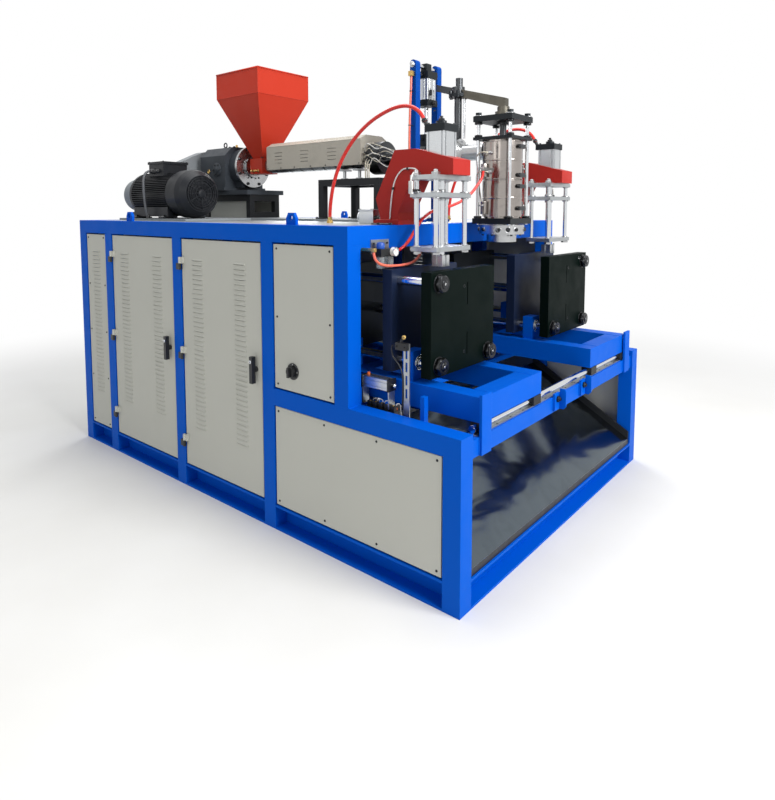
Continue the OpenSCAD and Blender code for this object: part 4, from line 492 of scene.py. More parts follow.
# The lifting posts wear the frame's blue darkened as painted shade.
dress("lift_posts", BLUE_SHADE_PAINTED,
      (CHROME, lambda x, y, z: z > 2.27 and x > 0.59 and (abs(y) < 0.0799 or abs(y) > 0.1201)),
      (BRASS, lambda x, y, z: y < -0.1201 and x > 0 and (2.22 < z < 2.26 or 1.4642 < z < 1.5)))
dress("lift_cylinder", BLACK_PLATE, (ALU, lambda x, y, z: 2.1181 < z < 2.2319))
dress("lift_rod", CHROME, (BLACK_PLATE, lambda x, y, z: z < 1.931))
dress("head_plates", BLACK_PLATE)
dress("head_rods", CHROME, (BLACK_PLATE, lambda x, y, z: z > 1.9851))
dress("head_body", BAND, (ZINC, lambda x, y, z: y < -0.1005 and x < 1.08),
      (DARK_STEEL, lambda x, y, z: z > 1.8685 or x > 1.1905))
dress("die_ring", BRIGHT)

# %% [markdown]
# ## Blow units and clamp stations
# From top to bottom a blow unit is black cap, aluminium barrel, zinc plates and chromed rods, so its
# tests are heights. In a clamp station the finish changes along the machine, so they are lengths.

# %% Dress the stations
dress("blow_arms", ARM)
dress("blow_units", BLACK_PLATE, (ALU, lambda x, y, z: 1.7300 < z < 1.8592),
      (ZINC, lambda x, y, z: z < 1.669), (CHROME, lambda x, y, z: 1.3585 < z < 1.6475),
      (BLACK, lambda x, y, z: x < 1.03 and z > 1.8892),
      (BRASS, lambda x, y, z: x < 1.0189 and z < 1.36))
dress("blow_pin_near blow_pin_far", CHROME, (ZINC, lambda x, y, z: 1.5715 < z < 1.5925),
      (ALU, lambda x, y, z: z < 1.3179))

dress("carriage_near carriage_far", BLUE, (STAND, lambda x, y, z: z < 0.6989 and (x > 1.3 or x < 0.6)),
      (CHROME, lambda x, y, z: z < 0.675 and 0.69 < x < 0.78))
dress("front_platen_near front_platen_far", PLATEN)
dress("rear_platen_near rear_platen_far", NAVY, (CHROME, lambda x, y, z: x < 0.9299))
dress("clamp_frame_near clamp_frame_far", CHROME, (BLACK_PLATE, lambda x, y, z: 0.5599 < x < 0.6001),
      (DARK_STEEL, lambda x, y, z: x < 0.5599), (BOLT, lambda x, y, z: x > 1.2181))
print("dressed", sum(len(o.data.materials) for o in frame["nodes"].values()), "finish places")

# %% [markdown]
# ## Mesh kit
# The hardware is small but there is a lot of it, so it is made in mesh code, in a kit that grows over
# the next four cells. The first makes what comes off a lathe. Such a shape could be a spun curve, but
# rings stacked along an axis are as short, and a ring may be six sided, which gives hexagons too.

# %% Turned shapes
def turn_to(axis):
    return Vector((0, 0, 1)).rotation_difference(Vector(axis).normalized()).to_matrix().to_4x4()


class Turned:
    def __init__(self):
        self.bm = bmesh.new()

    def rings(self, rows, at, axis=(0, 0, 1), n=24, slot=0, turn=0.0, closed=False):
        """Rows are (radius, height) or (half width, height, "hex"); closed joins the last to the first."""
        place = Matrix.Translation(Vector(at)) @ turn_to(axis)
        loops = []
        for row in rows:
            ring = []
            for k in range(n):
                a = 2 * math.pi * k / n
                r = row[0]
                if len(row) > 2:
                    r /= math.cos(((a + math.pi / 6) % (math.pi / 3)) - math.pi / 6)
                point = Vector((r * math.cos(a + turn), r * math.sin(a + turn), row[1]))
                ring.append(self.bm.verts.new(place @ point))
            loops.append(ring)
        faces = []
        for low, high in zip(loops, loops[1:] + (loops[:1] if closed else [])):
            for k in range(n):
                m = (k + 1) % n
                faces.append(self.bm.faces.new((low[k], low[m], high[m], high[k])))
        if not closed:
            faces.append(self.bm.faces.new(list(reversed(loops[0]))))
            faces.append(self.bm.faces.new(loops[-1]))
        for face in faces:
            face.material_index = slot
        return self

    def washer(self, at, axis, outer, bore, thick, slot=0, n=28):
        c = min(thick, outer - bore) * 0.18
        return self.rings([(bore, 0), (outer - c, 0), (outer, c), (outer, thick - c), (outer - c, thick),
                           (bore, thick)], at, axis, n, slot, closed=True)

    def rod(self, a, b, radius, n=24, slot=0, chamfer=0.0):
        a, b = Vector(a), Vector(b)
        long, c = (b - a).length, chamfer
        rows = [(radius - c, 0), (radius, c), (radius, long - c), (radius - c, long)] if c else \
               [(radius, 0), (radius, long)]
        return self.rings(rows, a, b - a, n, slot)


trial = Turned().rod((0, 0, 0), (0, 0, 0.1), 0.01)
print("a plain rod has", len(trial.bm.faces), "faces")
trial.bm.free()

# %% [markdown]
# ## Screws, nuts and glands
# Fasteners are turned shapes whose rows follow from the thread size d, as in a table of standards. A
# hexagon head is named by the spanner that fits it, in millimetres. Each has its chamfer and its
# recess, since a plain cylinder reads as a peg and not as a screw.

# %% Fasteners
# m, by spanner: half the width across the flats, their height, then radius and height of the top
HEX = {11: (0.0055, 0.0040, 0.0048, 0.0050), 12: (0.0060, 0.0050, 0.0052, 0.0060),
       13: (0.0065, 0.0050, 0.0056, 0.0060), 16: (0.0080, 0.0060, 0.0070, 0.0075),
       18: (0.0090, 0.0070, 0.0078, 0.0085), 19: (0.0095, 0.0070, 0.0084, 0.0085),
       21: (0.0105, 0.0070, 0.0090, 0.0085), 22: (0.0110, 0.0060, 0.0095, 0.0075),
       26: (0.0130, 0.0080, 0.0118, 0.0095), 33: (0.0165, 0.0095, 0.0150, 0.0115),
       34: (0.0170, 0.0100, 0.0152, 0.0120)}


class Fasteners(Turned):
    def hexagon(self, at, axis, spanner, slot=0):
        """A plain hexagon head or nut with its upper edge turned off."""
        half, flats, top, tall = HEX[spanner]
        return self.rings([(half, 0, "hex"), (half, flats, "hex"), (top, tall)], at, axis, 24, slot)

    def screw(self, at, axis, d, slot=0):
        """A socket head screw of thread size d."""
        return self.rings([(0.78 * d, 0), (0.78 * d, 0.85 * d), (0.7 * d, d), (0.46 * d, d, "hex"),
                           (0.42 * d, 0.45 * d, "hex"), (0.05 * d, 0.42 * d)], at, axis, 18, slot)

    def button(self, at, axis, d, slot=0):
        """A button head screw, as on thin sheets."""
        return self.rings([(0.9 * d, 0), (0.88 * d, 0.2 * d), (0.66 * d, 0.48 * d), (0.34 * d, 0.56 * d),
                           (0.3 * d, 0.3 * d, "hex"), (0.04 * d, 0.28 * d)], at, axis, 12, slot)

    def nut(self, at, axis, d, slot=0, stud=0.35):
        """A nut with the end of its stud, which stands out by a share of d."""
        return self.rings([(0.85 * d, 0, "hex"), (0.85 * d, 0.7 * d, "hex"), (0.79 * d, 0.8 * d),
                           (0.52 * d, 0.8 * d), (0.5 * d, (0.8 + stud) * d), (0.42 * d, (0.85 + stud) * d)],
                          at, axis, 24, slot)

    def gland(self, at, axis, d, slot=0):
        """A cable gland: flange, six sided body and domed cap."""
        return self.rings([(0.75 * d, 0), (0.75 * d, 0.12 * d), (0.66 * d, 0.14 * d, "hex"),
                           (0.66 * d, 0.6 * d, "hex"), (0.56 * d, 0.64 * d), (0.56 * d, d),
                           (0.44 * d, 1.25 * d), (0.3 * d, 1.32 * d)], at, axis, 24, slot)


print("hexagon heads for spanners of", *HEX, "mm")

# %% [markdown]
# ## Blocks, tubes, welds and plates
# The rest is cut, bent or welded. A block is a box with broken edges, a tube follows a path without
# twisting, a plate is an outline with a thickness, and a weld is a tube along a corner whose radius
# swells and shrinks with the ripple of the torch.

# %% Blocks, tubes, welds and plates
TORCH_STEP = 0.0045      # m, half the length of a ripple in a weld


class Steelwork(Fasteners):
    def block(self, low, high, bevel=0.0, slot=0, turn=None):
        low, high = Vector(low), Vector(high)
        made = bmesh.ops.create_cube(self.bm, size=1)["verts"]
        place = Matrix.Translation((high + low) / 2) @ (turn.to_4x4() if turn else Matrix()) \
            @ Matrix.Diagonal((*(high - low), 1))
        bmesh.ops.transform(self.bm, matrix=place, verts=made)
        for face in {f for v in made for f in v.link_faces}:
            face.material_index = slot
        if bevel:
            edges = list({e for v in made for e in v.link_edges})
            bmesh.ops.bevel(self.bm, geom=edges, offset=bevel, segments=2, affect="EDGES", profile=0.7,
                            material=slot, clamp_overlap=True)
        return self

    def tube(self, points, radius, n=10, slot=0):
        points = [Vector(p) for p in points]
        normal, loops = None, []
        for i, p in enumerate(points):
            way = (points[min(i + 1, len(points) - 1)] - points[max(i - 1, 0)]).normalized()
            normal = normal or way.orthogonal().normalized()
            normal = (normal - way * normal.dot(way)).normalized()
            side = way.cross(normal)
            r = radius(i) if callable(radius) else radius
            loops.append([self.bm.verts.new(p + (normal * math.cos(2 * math.pi * k / n)
                                                 + side * math.sin(2 * math.pi * k / n)) * r)
                          for k in range(n)])
        for low, high in zip(loops, loops[1:]):
            for k in range(n):
                m = (k + 1) % n
                self.bm.faces.new((low[k], low[m], high[m], high[k])).material_index = slot
        self.bm.faces.new(list(reversed(loops[0]))).material_index = slot
        self.bm.faces.new(loops[-1]).material_index = slot
        return self

    def weld(self, a, b, leg=0.0045, slot=0):
        """A bead along the corner from a to b, with a ripple every 9 mm."""
        a, b = Vector(a), Vector(b)
        steps = max(2, int((b - a).length / TORCH_STEP))
        return self.tube([a.lerp(b, k / steps) for k in range(steps + 1)],
                         lambda i: leg * (1.0 if i % 2 else 0.8), 6, slot)

    def plate(self, outline, low, high, axis="z", bevel=0.0, slot=0):
        put = {"z": lambda u, v, w: (u, v, w), "y": lambda u, v, w: (u, w, v),
               "x": lambda u, v, w: (w, u, v)}[axis]
        a = [self.bm.verts.new(put(u, v, low)) for u, v in outline]
        b = [self.bm.verts.new(put(u, v, high)) for u, v in outline]
        n = len(a)
        faces = [self.bm.faces.new((a[k], a[(k + 1) % n], b[(k + 1) % n], b[k])) for k in range(n)]
        faces += [self.bm.faces.new(list(reversed(a))), self.bm.faces.new(b)]
        bmesh.ops.recalc_face_normals(self.bm, faces=faces)
        for face in faces:
            face.material_index = slot
        if bevel:
            edges = list({e for f in faces for e in f.edges})
            bmesh.ops.bevel(self.bm, geom=edges, offset=bevel, segments=2, affect="EDGES", profile=0.7,
                            material=slot, clamp_overlap=True)
        return self


trial = Steelwork().weld((0, 0, 0), (0, 0, 0.1))
print("100 mm of weld has", len(trial.bm.verts), "points")
trial.bm.free()

# %% [markdown]
# ## A finished piece
# A `Part` gathers many of these shapes into one mesh that rides on one body. Its sharp edges are
# marked by their angle and the rest is shaded smooth, so that turned faces look round and corners
# stay crisp.

# %% Part
SHARP = 35       # degrees, an edge that turns more than this stays sharp


class Part(Steelwork):
    def mirrored(self):
        """Adds the mirror image on the far side of the machine."""
        copy = bmesh.ops.duplicate(self.bm, geom=self.bm.verts[:] + self.bm.edges[:] + self.bm.faces[:])
        for g in copy["geom"]:
            if isinstance(g, bmesh.types.BMVert):
                g.co.y = -g.co.y
        faces = [g for g in copy["geom"] if isinstance(g, bmesh.types.BMFace)]
        bmesh.ops.reverse_faces(self.bm, faces=faces)
        return self

    def done(self, name, body, slot, *materials, angle=SHARP):
        for edge in self.bm.edges:
            if len(edge.link_faces) == 2 and edge.calc_face_angle(0) > math.radians(angle):
                edge.smooth = False
        for face in self.bm.faces:
            face.smooth = True
        mesh = bpy.data.meshes.new(name)
        self.bm.to_mesh(mesh)
        self.bm.free()
        for material in materials:
            mesh.materials.append(material)
        piece = bpy.data.objects.new(name, mesh)
        bpy.context.scene.collection.objects.link(piece)
        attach(piece, body)
        print(name, len(mesh.polygons), "faces")
        return piece


print("edges over", SHARP, "degrees stay sharp")

# %% [markdown]
# ## Twin stations
# The machine has a clamp station and a blow unit on each side, one the mirror image of the other. A
# piece is built once for the near side, and its mesh is copied and mirrored for the far side, where
# it rides on the far body.

# %% Twins
def both(build, name, body, slot, *materials):
    part = Part()
    build(part)
    near = part.done(name + "_near", body if body == "base" else body + "_near", slot, *materials)
    mesh = near.data.copy()
    mesh.transform(Matrix.Diagonal((1, -1, 1, 1)))
    mesh.flip_normals()
    far = bpy.data.objects.new(name + "_far", mesh)
    bpy.context.scene.collection.objects.link(far)
    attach(far, body if body == "base" else body + "_far")
    print(far.name, "mirrors it")


# %% [markdown]
# ## Soft curves
# Hoses, wires and leads bend softly through a few known points. Blender's own curves could do it, but the
# tube of a hose is built along points, so the curve is worked out here: it passes through every point and
# leaves it in the direction of its two neighbours.

# %% Soft curves
def smooth(points, m=6):
    """A soft curve through the points, with m steps from each to the next."""
    out = []
    for i in range(len(points) - 1):
        a, b = points[max(i - 1, 0)], points[i]
        c, d = points[i + 1], points[min(i + 2, len(points) - 1)]
        for t in (k / m for k in range(m)):
            out.append(tuple(0.5 * (2 * q + (r - p) * t + (2 * p - 5 * q + 4 * r - s) * t * t
                                    + (3 * q - p - 3 * r + s) * t ** 3) for p, q, r, s in zip(a, b, c, d)))
    return [Vector(p) for p in out + [points[-1]]]


print("3 points become", len(smooth([(0, 0, 0), (0, 0, 1), (0, 1, 1)])))

# %% [markdown]
# ## Air hoses
# Polyurethane hose keeps the curve it was wound in and sags a little between its fittings. Each one repeats
# the route of its solid, with a soft curve through the points, so that what is seen lies where the solid
# lies. The hose to the head is fixed to the frame at one end and to the tilting extruder at the other, so
# it is taken off its body and kept where it was built.

# %% Hoses
def hose(name, route, d, material, node, side=1, blend=None):
    path = smooth([(x / 1000, side * y / 1000, z / 1000) for x, y, z in route])
    piece = Part().tube(path, d / 2, 12).done(name, "base", "air_hose", material, angle=60)
    if blend:
        piece.parent = None
        del piece["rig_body"]
        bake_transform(piece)
    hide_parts(node)


# %% [markdown]
# ## Routes
# The routes are in millimetres, in the machine's own frame. ARC rises from the deck and comes down on
# a blow cylinder, POST follows the lift post, LOOP sags from the air service to the blow pin, and
# HEAD climbs to the die head.

# %% Routes and hoses
ARC = [(x, -545, z) for x, z in (
    (398, 1480.4), (398.5, 1505), (402, 1540), (411, 1590), (424, 1640), (446, 1698), (475, 1752),
    (512, 1804), (560, 1856), (625, 1908), (697, 1949), (768, 1976), (830, 1991), (885, 1993),
    (929, 1983), (960, 1965), (978, 1947), (991.3, 1927.5), (1001.3, 1910.2))]
POST = [(608, y, z) for y, z in (
    (-135, 2229.6), (-135.5, 2200), (-139, 2140), (-144, 2060), (-148, 1970), (-150, 1880),
    (-150, 1790), (-148, 1700), (-143, 1610), (-137, 1540), (-135, 1510), (-135, 1490.4))]
LOOP = [(985, -880, 1342.5), (985, -879, 1332), (985, -874, 1318), (985, -862, 1304), (985, -842, 1292),
        (986, -815, 1284), (988, -780, 1279), (991, -740, 1277.5), (995, -705, 1277.5), (999, -672, 1280),
        (1002, -648, 1284), (1005, -630, 1289.5), (1007.5, -613, 1298.5), (1009.3, -600, 1310),
        (1010, -591.4, 1323.5), (1010, -590.1, 1337.4)]
HEAD = [(954, -703.5, 1338), (954.5, -684, 1339.5), (957, -664.5, 1345), (961.5, -646, 1356),
        (967.5, -629, 1373), (974, -613, 1394), (980, -597.5, 1418), (984.5, -578, 1444), (987, -551, 1470),
        (987.5, -518, 1491), (988, -480, 1507), (989, -440, 1518), (994, -395, 1526), (1001, -350, 1534),
        (1011, -308, 1546), (1024, -268, 1563), (1037, -230, 1588), (1048, -198, 1618), (1057, -172, 1650),
        (1061.5, -159, 1667), (1064.3, -150.3, 1688), (1065, -148, 1709.3)]
hose("air_hose_arc_near", ARC, 0.018, HOSE, "hose_arc_near")
hose("air_hose_arc_far", ARC, 0.018, HOSE, "hose_arc_far", side=-1)
hose("air_hose_post", POST, 0.012, HOSE_SOFT, "hose_post")
hose("air_hose_loop", LOOP, 0.012, HOSE_SOFT, "hose_loop")
hose("air_hose_head", HEAD, 0.014, HOSE, "hose_head",
     blend=("base", "extruder", (0.99, -0.45, 1.521), (1.06, -0.155, 1.68)))

# %% [markdown]
# ## Welds
# The frame is square tube, welded at every corner. A weld is a small rippled bead, and the eye misses
# it at once where a post meets a rail. It could be a bump in the paint, but then it would vanish from
# the mesh, so each bead is a thin tube whose radius swells and shrinks along the corner.

# %% Frame welds
POST_FRONT, POST_SIDE = 0.9203, -0.8897                    # m, faces of the corner post
BED_TOP, RAIL_UNDER, BASE_TOP = 0.6853, 1.3697, 0.1203     # m, heights of the tubes it meets
END_FACE = 1.4683                                          # m, where end plates and stop blocks are welded
welds = Part()
welds.weld((POST_FRONT, -0.968, BED_TOP), (POST_FRONT, -0.892, BED_TOP))
welds.weld((0.842, POST_SIDE, RAIL_UNDER), (0.918, POST_SIDE, RAIL_UNDER))
welds.weld((POST_FRONT, POST_SIDE, 0.69), (POST_FRONT, POST_SIDE, 0.76), 0.003)
for y in (-0.8262, -0.7538):
    welds.weld((END_FACE, y, 0.586), (END_FACE, y, 0.650), 0.004)
for y in (-0.1782, -0.1218):
    welds.weld((END_FACE, y, 0.594), (END_FACE, y, 0.650), 0.004)
welds.weld((1.402, POST_SIDE, BASE_TOP), (1.478, POST_SIDE, BASE_TOP))
welds.mirrored()
welds.done("frame_welds", "base", "frame_blue", BLUE)

# %% [markdown]
# ## Arm welds
# Each red plate arm stands on a foot of its own, with a bead down both sides and across its end. The
# beads are sprayed with the arm, so they are red like it, and a little thicker than those of the
# thin tube.

# %% Arm welds
FOOT_TOP = 1.4705
arm_welds = Part()
for y in (-0.6133, -0.4767):
    arm_welds.weld((0.772, y, FOOT_TOP), (0.905, y, FOOT_TOP), 0.005)
arm_welds.weld((0.9083, -0.611, FOOT_TOP), (0.9083, -0.479, FOOT_TOP), 0.005)
arm_welds.mirrored()
arm_welds.done("arm_welds", "base", "frame_blue", ARM)

# %% [markdown]
# ## Panel screws
# The fixed sheets are held by small black button screws, set in 20 mm from the edge and about 300 mm
# apart. They are real heads with a hex recess and not painted dots, so that they catch a light.

# %% Panel screws
INSET, PITCH = 0.020, 0.33       # m from the edge, and about the step between two screws


def edge_screws(part, low_u, high_u, low_z, high_z, put, axis, d=0.006):
    """Button screws round a sheet from low to high; put gives the point for a place on the sheet."""
    across = max(2, round((high_u - low_u) / PITCH) + 1)
    up = max(2, round((high_z - low_z) / PITCH) + 1)
    for i in range(across):
        for j in range(up):
            if i in (0, across - 1) or j in (0, up - 1):
                u = low_u + INSET + (high_u - low_u - 2 * INSET) * i / (across - 1)
                z = low_z + INSET + (high_z - low_z - 2 * INSET) * j / (up - 1)
                part.button(put(u, z), axis, d)


SHEET = 0.966                    # m, outer face of the side sheets
SILL, LINTEL = 0.128, 1.362      # m, lower and upper edge of a tall sheet
screws = Part()
for low_x, high_x, low_z, high_z in ((0.451, 0.832, 0.693, LINTEL), (0.451, 1.392, SILL, 0.601),
                                     (-1.392, -1.153, SILL, LINTEL)):
    edge_screws(screws, low_x, high_x, low_z, high_z, lambda u, z: (u, -SHEET, z), (0, -1, 0))
screws.mirrored()
for low_x, high_x in ((-1.057, -0.397), (-0.301, 0.355)):
    edge_screws(screws, low_x, high_x, SILL, LINTEL, lambda u, z: (u, SHEET, z), (0, 1, 0))
edge_screws(screws, -0.882, 0.882, SILL, LINTEL, lambda u, z: (-1.476, u, z), (-1, 0, 0), 0.007)
screws.done("panel_screws", "base", "black_fittings", BOLT)

# %% [markdown]
# ## Door locks
# Each latch has a small chromed lock above its grip: a turned disc with a sunk middle and a keyway drawn as
# a black bar of painted shade. A flat disc with a drawn slot would do from far off, but the sunk middle
# catches a light.
# The lock rides on its latch and turns with it.

# %% Door locks
for name, x in (("left", -0.439), ("right", 0.313)):
    lock = Part().rings([(0.0085, 0), (0.0085, 0.004), (0.0070, 0.0055), (0.0030, 0.0055),
                         (0.0026, 0.0015)], (x, -1.0018, 0.795), (0, -1, 0), 24)
    # The keyway: a black bar painted for the shade inside the slot.
    lock.block((x - 0.0010, -1.0076, 0.7905), (x + 0.0010, -1.0060, 0.7995), 0.0003, slot=1)
    lock.done("latch_lock_" + name, "latch_" + name, "machined_steel", CHROME, BLACK)

# %% [markdown]
# ## Main switch
# The knob of the main switch sits on a round escutcheon with a raised rim, four screws and two white
# marks for on and off. Whatever sits on a bolt circle needs the same sums, so `circle` gives the
# places once, for this ring and for the flanges that come later.

# %% Switch escutcheon
SWITCH_X, SWITCH_Z, RING = 0.575, 0.787, 0.0315


def circle(radius, count, first=0):
    """Places on a bolt circle round the origin, from an angle in degrees."""
    for k in range(count):
        a = math.radians(first + 360 / count * k)
        yield radius * math.cos(a), radius * math.sin(a)


dial = Part().rings([(0.0240, 0), (0.0370, 0), (0.0380, 0.001), (0.0380, 0.003), (0.0360, 0.0045),
                     (0.0270, 0.0045), (0.0240, 0.003)], (SWITCH_X, -0.9662, SWITCH_Z), (0, -1, 0),
                    48, closed=True)
for u, v in circle(RING, 4, 45):
    dial.button((SWITCH_X + u, -0.9705, SWITCH_Z + v), (0, -1, 0), 0.0035, 1)
for u, v in ((RING, 0), (0, RING)):
    dial.block((SWITCH_X + u - 0.001, -0.9715, SWITCH_Z + v - 0.003),
               (SWITCH_X + u + 0.001, -0.9700, SWITCH_Z + v + 0.003), 0, 2)
dial.done("switch_escutcheon", "base", "black_fittings", BLACK, BOLT, DIAL)

# %% [markdown]
# ## Slide rails
# Each ground rail stands on a strip that is screwed down every 110 mm on both sides. The heads are
# low, because the bearings run close over them, so only a thin disc and its hex recess are made.

# %% Rail screws
rails = Part()
for rail_x in (1.438, 0.560):
    for k in range(15):
        y = -0.77 + 0.11 * k
        for side in (-0.014, 0.014):
            rails.rings([(0.0050, 0), (0.0050, 0.0006), (0.0026, 0.0006, "hex"), (0.0024, 0.0001, "hex")],
                        (rail_x + side, y, 0.6580), n=12)
rails.done("rail_screws", "base", "machined_steel", BOLT)

# %% [markdown]
# ## Stops
# The beam at the front end has a fin and a black stop bolt beside each stop block. The fin is cut from
# 8 mm plate, so it is an outline with a thickness. These fins reach further out than any solid.

# %% Stop fins and bolts
BEAM_FRONT, STOP_Z = 1.4802, 0.644
stops = Part()
for y in (-0.150, 0.155):
    stops.plate([(BEAM_FRONT, 0.592), (1.5000, 0.592), (1.5120, 0.606), (1.5120, 0.676),
                 (1.5060, 0.688), (BEAM_FRONT, 0.688)], y + 0.0200, y + 0.0280, "y", 0.001)
    stops.rod((1.4800, y, STOP_Z), (1.4960, y, STOP_Z), 0.0085, 24, 1, 0.001)
    stops.hexagon((BEAM_FRONT, y, STOP_Z), (1, 0, 0), 26, 1)
stops.done("stop_fins", "base", "frame_blue", BLUE, BOLT)

# %% [markdown]
# ## Tie bar nuts
# Three tie bars pull each pair of platens together and end in dark hexagon nuts on the front platen.
# A nut has a washer under it and the end of its bar in it, with a bright centre hole where the bar
# was held in the lathe. It rides on the front platen.

# %% Tie bar nuts
BARS = ((-0.740, 0.872), (-0.350, 0.872), (-0.740, 1.216))     # m, y and z of the bars
PLATEN_FACE = 1.2181


def tie_nuts(part):
    for y, z in BARS:
        part.rings([(0.0315, 0, "hex"), (0.0335, 0.002, "hex"), (0.0335, 0.022, "hex"), (0.0305, 0.0275),
                    (0.0215, 0.0275), (0.0205, 0.0260)], (1.2190, y, z), (1, 0, 0), 36)
        part.washer((PLATEN_FACE, y, z), (1, 0, 0), 0.0390, 0.0330, 0.0030, 0, 40)
        part.rings([(0.0200, 0), (0.0200, 0.0045), (0.0185, 0.0060), (0.0060, 0.0060)],
                   (1.2450, y, z), (1, 0, 0), 32, 0)
        part.rings([(0.0058, 0), (0.0058, 0.0004), (0.0040, 0.0004), (0.0030, 0.0001)],
                   (1.2510, y, z), (1, 0, 0), 20, 1)


both(tie_nuts, "tie_bar_nuts", "front", "machined_steel", BOLT, BRIGHT)

# %% [markdown]
# ## Platen holes
# The outer face of a platen is bare but for a few tapped holes, and its upper edge has two low screws.
# Holes would have to be cut in the solid, so the large one is drawn as a bright countersunk rim round a
# dark disc of painted shade, and each small one as a dark ring of painted shade.

# %% Platen holes
def platen_holes(part):
    part.washer((PLATEN_FACE, -0.690, 1.236), (1, 0, 0), 0.0090, 0.0055, 0.0006, 1, 24)
    # The dark disc is painted shade for the depth of the large hole.
    part.rings([(0.0053, 0), (0.0053, 0.0003)], (PLATEN_FACE, -0.690, 1.236), (1, 0, 0), 20, 0)
    # The dark rings are painted shade for the depth of the small holes.
    for z in (0.900, 1.188):
        part.washer((PLATEN_FACE, -0.5470, z), (1, 0, 0), 0.0075, 0.0048, 0.0006, 0, 24)
    for y in (-0.620, -0.470):
        part.rings([(0.0090, 0), (0.0090, 0.0006), (0.0045, 0.0006, "hex"), (0.0042, 0.0001, "hex")],
                   (1.1930, y, 1.2640), n=20)


both(platen_holes, "platen_holes", "front", "machined_steel", BOLT, BRIGHT)

# %% [markdown]
# ## Carriage brackets
# The tie bars run through brackets on the carriage. A polished bush shows at the mouth of each bore,
# and each bracket is welded to the carriage along both sides. The bush is a ring with room round the
# bar, because the bar slides in it.

# %% Carriage bushes and welds
BRACKET_FOOT, END_FOOT = 0.7993, 0.7988
BUSH = (0.0320, 0.0206, 0.0050, 1, 40)      # outer and bore radius, thickness, slot, sides


def carriage_trim(part):
    for y, z in BARS[:2]:
        part.washer((1.057, y, z), (1, 0, 0), *BUSH)
        for low, high in ((1.062, 1.118), (0.704, 0.760)):
            part.washer((high, y, z), (1, 0, 0), *BUSH)
            for side in (-0.0425, 0.0425):
                part.weld((low + 0.002, y + side, BRACKET_FOOT), (high - 0.002, y + side, BRACKET_FOOT),
                          0.004, 0)
    for y in (-0.719, -0.371):
        part.weld((1.3775, y, END_FOOT), (1.4590, y, END_FOOT), 0.0022, 0)
        part.weld((0.4920, y, END_FOOT), (0.5735, y, END_FOOT), 0.0022, 0)


both(carriage_trim, "carriage_trim", "carriage", "frame_blue", BLUE, CHROME)

# %% [markdown]
# ## Blow units
# A blow unit is a square air cylinder on the red arm. Its rod drives a plate up and down four chromed
# guide rods, with the blow pin under it. What tells the eye that it works is the hardware: cap
# screws, and nuts above and below the fixed plates. A switch on the rear rod tells the controls when
# the pin is up. All of this stays on the frame.

# %% Blow unit fixings
BLOW_X, BLOW_Y = 1.090, -0.545
RODS = [(x, y) for x in (1.039, 1.141) for y in (-0.658, -0.432)]


def blow_fixings(part):
    for dx in (-0.040, 0.040):
        for dy in (-0.040, 0.040):
            part.screw((BLOW_X + dx, BLOW_Y + dy, 1.8910), (0, 0, 1), 0.0070, 0)
    part.nut((BLOW_X, BLOW_Y, 1.9070), (0, 0, 1), 0.0140, 0, 0.7)
    part.rings([(0.0125, 0), (0.0130, 0.002), (0.0130, 0.012), (0.0105, 0.016), (0.0095, 0.016)],
               (1.0009, BLOW_Y, 1.9108), (-0.50, 0, 0.866), 20, 0)
    for x, y in RODS:
        part.hexagon((x, y, 1.3264), (0, 0, 1), 33, 1)
        part.rings([(0.0165, 0, "hex"), (0.0165, 0.0110, "hex"), (0.0150, 0.0130), (0.0105, 0.0130),
                    (0.0105, 0.0200), (0.0090, 0.0215)], (x, y, 1.6681), n=24, slot=1)
        part.washer((x, y, 1.3581), (0, 0, 1), 0.0165, 0.0113, 0.0040, 1)
        part.washer((x, y, 1.6440), (0, 0, 1), 0.0165, 0.0113, 0.0040, 1)
    # the position switch on the rear rod, and its wire along the arm
    part.block((1.0240, -0.6980, 1.5960), (1.0560, -0.6700, 1.6060), 0.001, 0)
    part.washer((1.0390, -0.6580, 1.5950), (0, 0, 1), 0.0180, 0.0112, 0.0120, 0)
    part.block((1.0300, -0.7040, 1.5860), (1.0480, -0.6920, 1.6420), 0.002, 2)
    part.tube(smooth([(1.0390, -0.6980, 1.6420), (1.0390, -0.6960, 1.6560), (1.0360, -0.6800, 1.6740),
                      (1.0280, -0.6500, 1.6860), (1.0120, -0.6240, 1.6940), (0.9800, -0.6170, 1.7020),
                      (0.9300, -0.6165, 1.6980), (0.8900, -0.6165, 1.6600), (0.8700, -0.6165, 1.6000),
                      (0.8600, -0.6165, 1.5300), (0.8560, -0.6170, 1.4760)]), 0.0032, 8, 2)
    for x, z in ((0.958, 1.7005), (0.8745, 1.615)):
        part.block((x - 0.005, -0.6215, z - 0.006), (x + 0.005, -0.6131, z + 0.006), 0.0015, 0)


both(blow_fixings, "blow_fixings", "base", "black_fittings", BOLT, BRIGHT, WIRE)

# %% [markdown]
# ## Pin bushes
# The moving plate slides on the guide rods in flanged bushes, and a coupling nut above and below holds
# it on the rod of the cylinder. They ride on the moving pin, so that they drop with the plate, and
# the bores leave room for the rods.

# %% Pin bushes
def pin_bushes(part):
    for x, y in RODS:
        part.washer((x, y, 1.5921), (0, 0, 1), 0.0215, 0.0113, 0.0060, 0)
        part.washer((x, y, 1.5659), (0, 0, 1), 0.0175, 0.0113, 0.0060, 0)
    for flats, tall, z in ((0.0130, 0.0150, 1.5922), (0.0100, 0.0120, 1.5598)):
        part.rings([(0.0190, 0, "hex"), (0.0190, flats, "hex"), (0.0170, tall)], (BLOW_X, BLOW_Y, z))
    for dx in (-0.022, 0.022):
        part.screw((BLOW_X + dx, BLOW_Y - 0.030, 1.3178), (0, 0, 1), 0.005, 1)


both(pin_bushes, "pin_bushes", "blow_pin", "machined_steel", BRIGHT, BOLT)

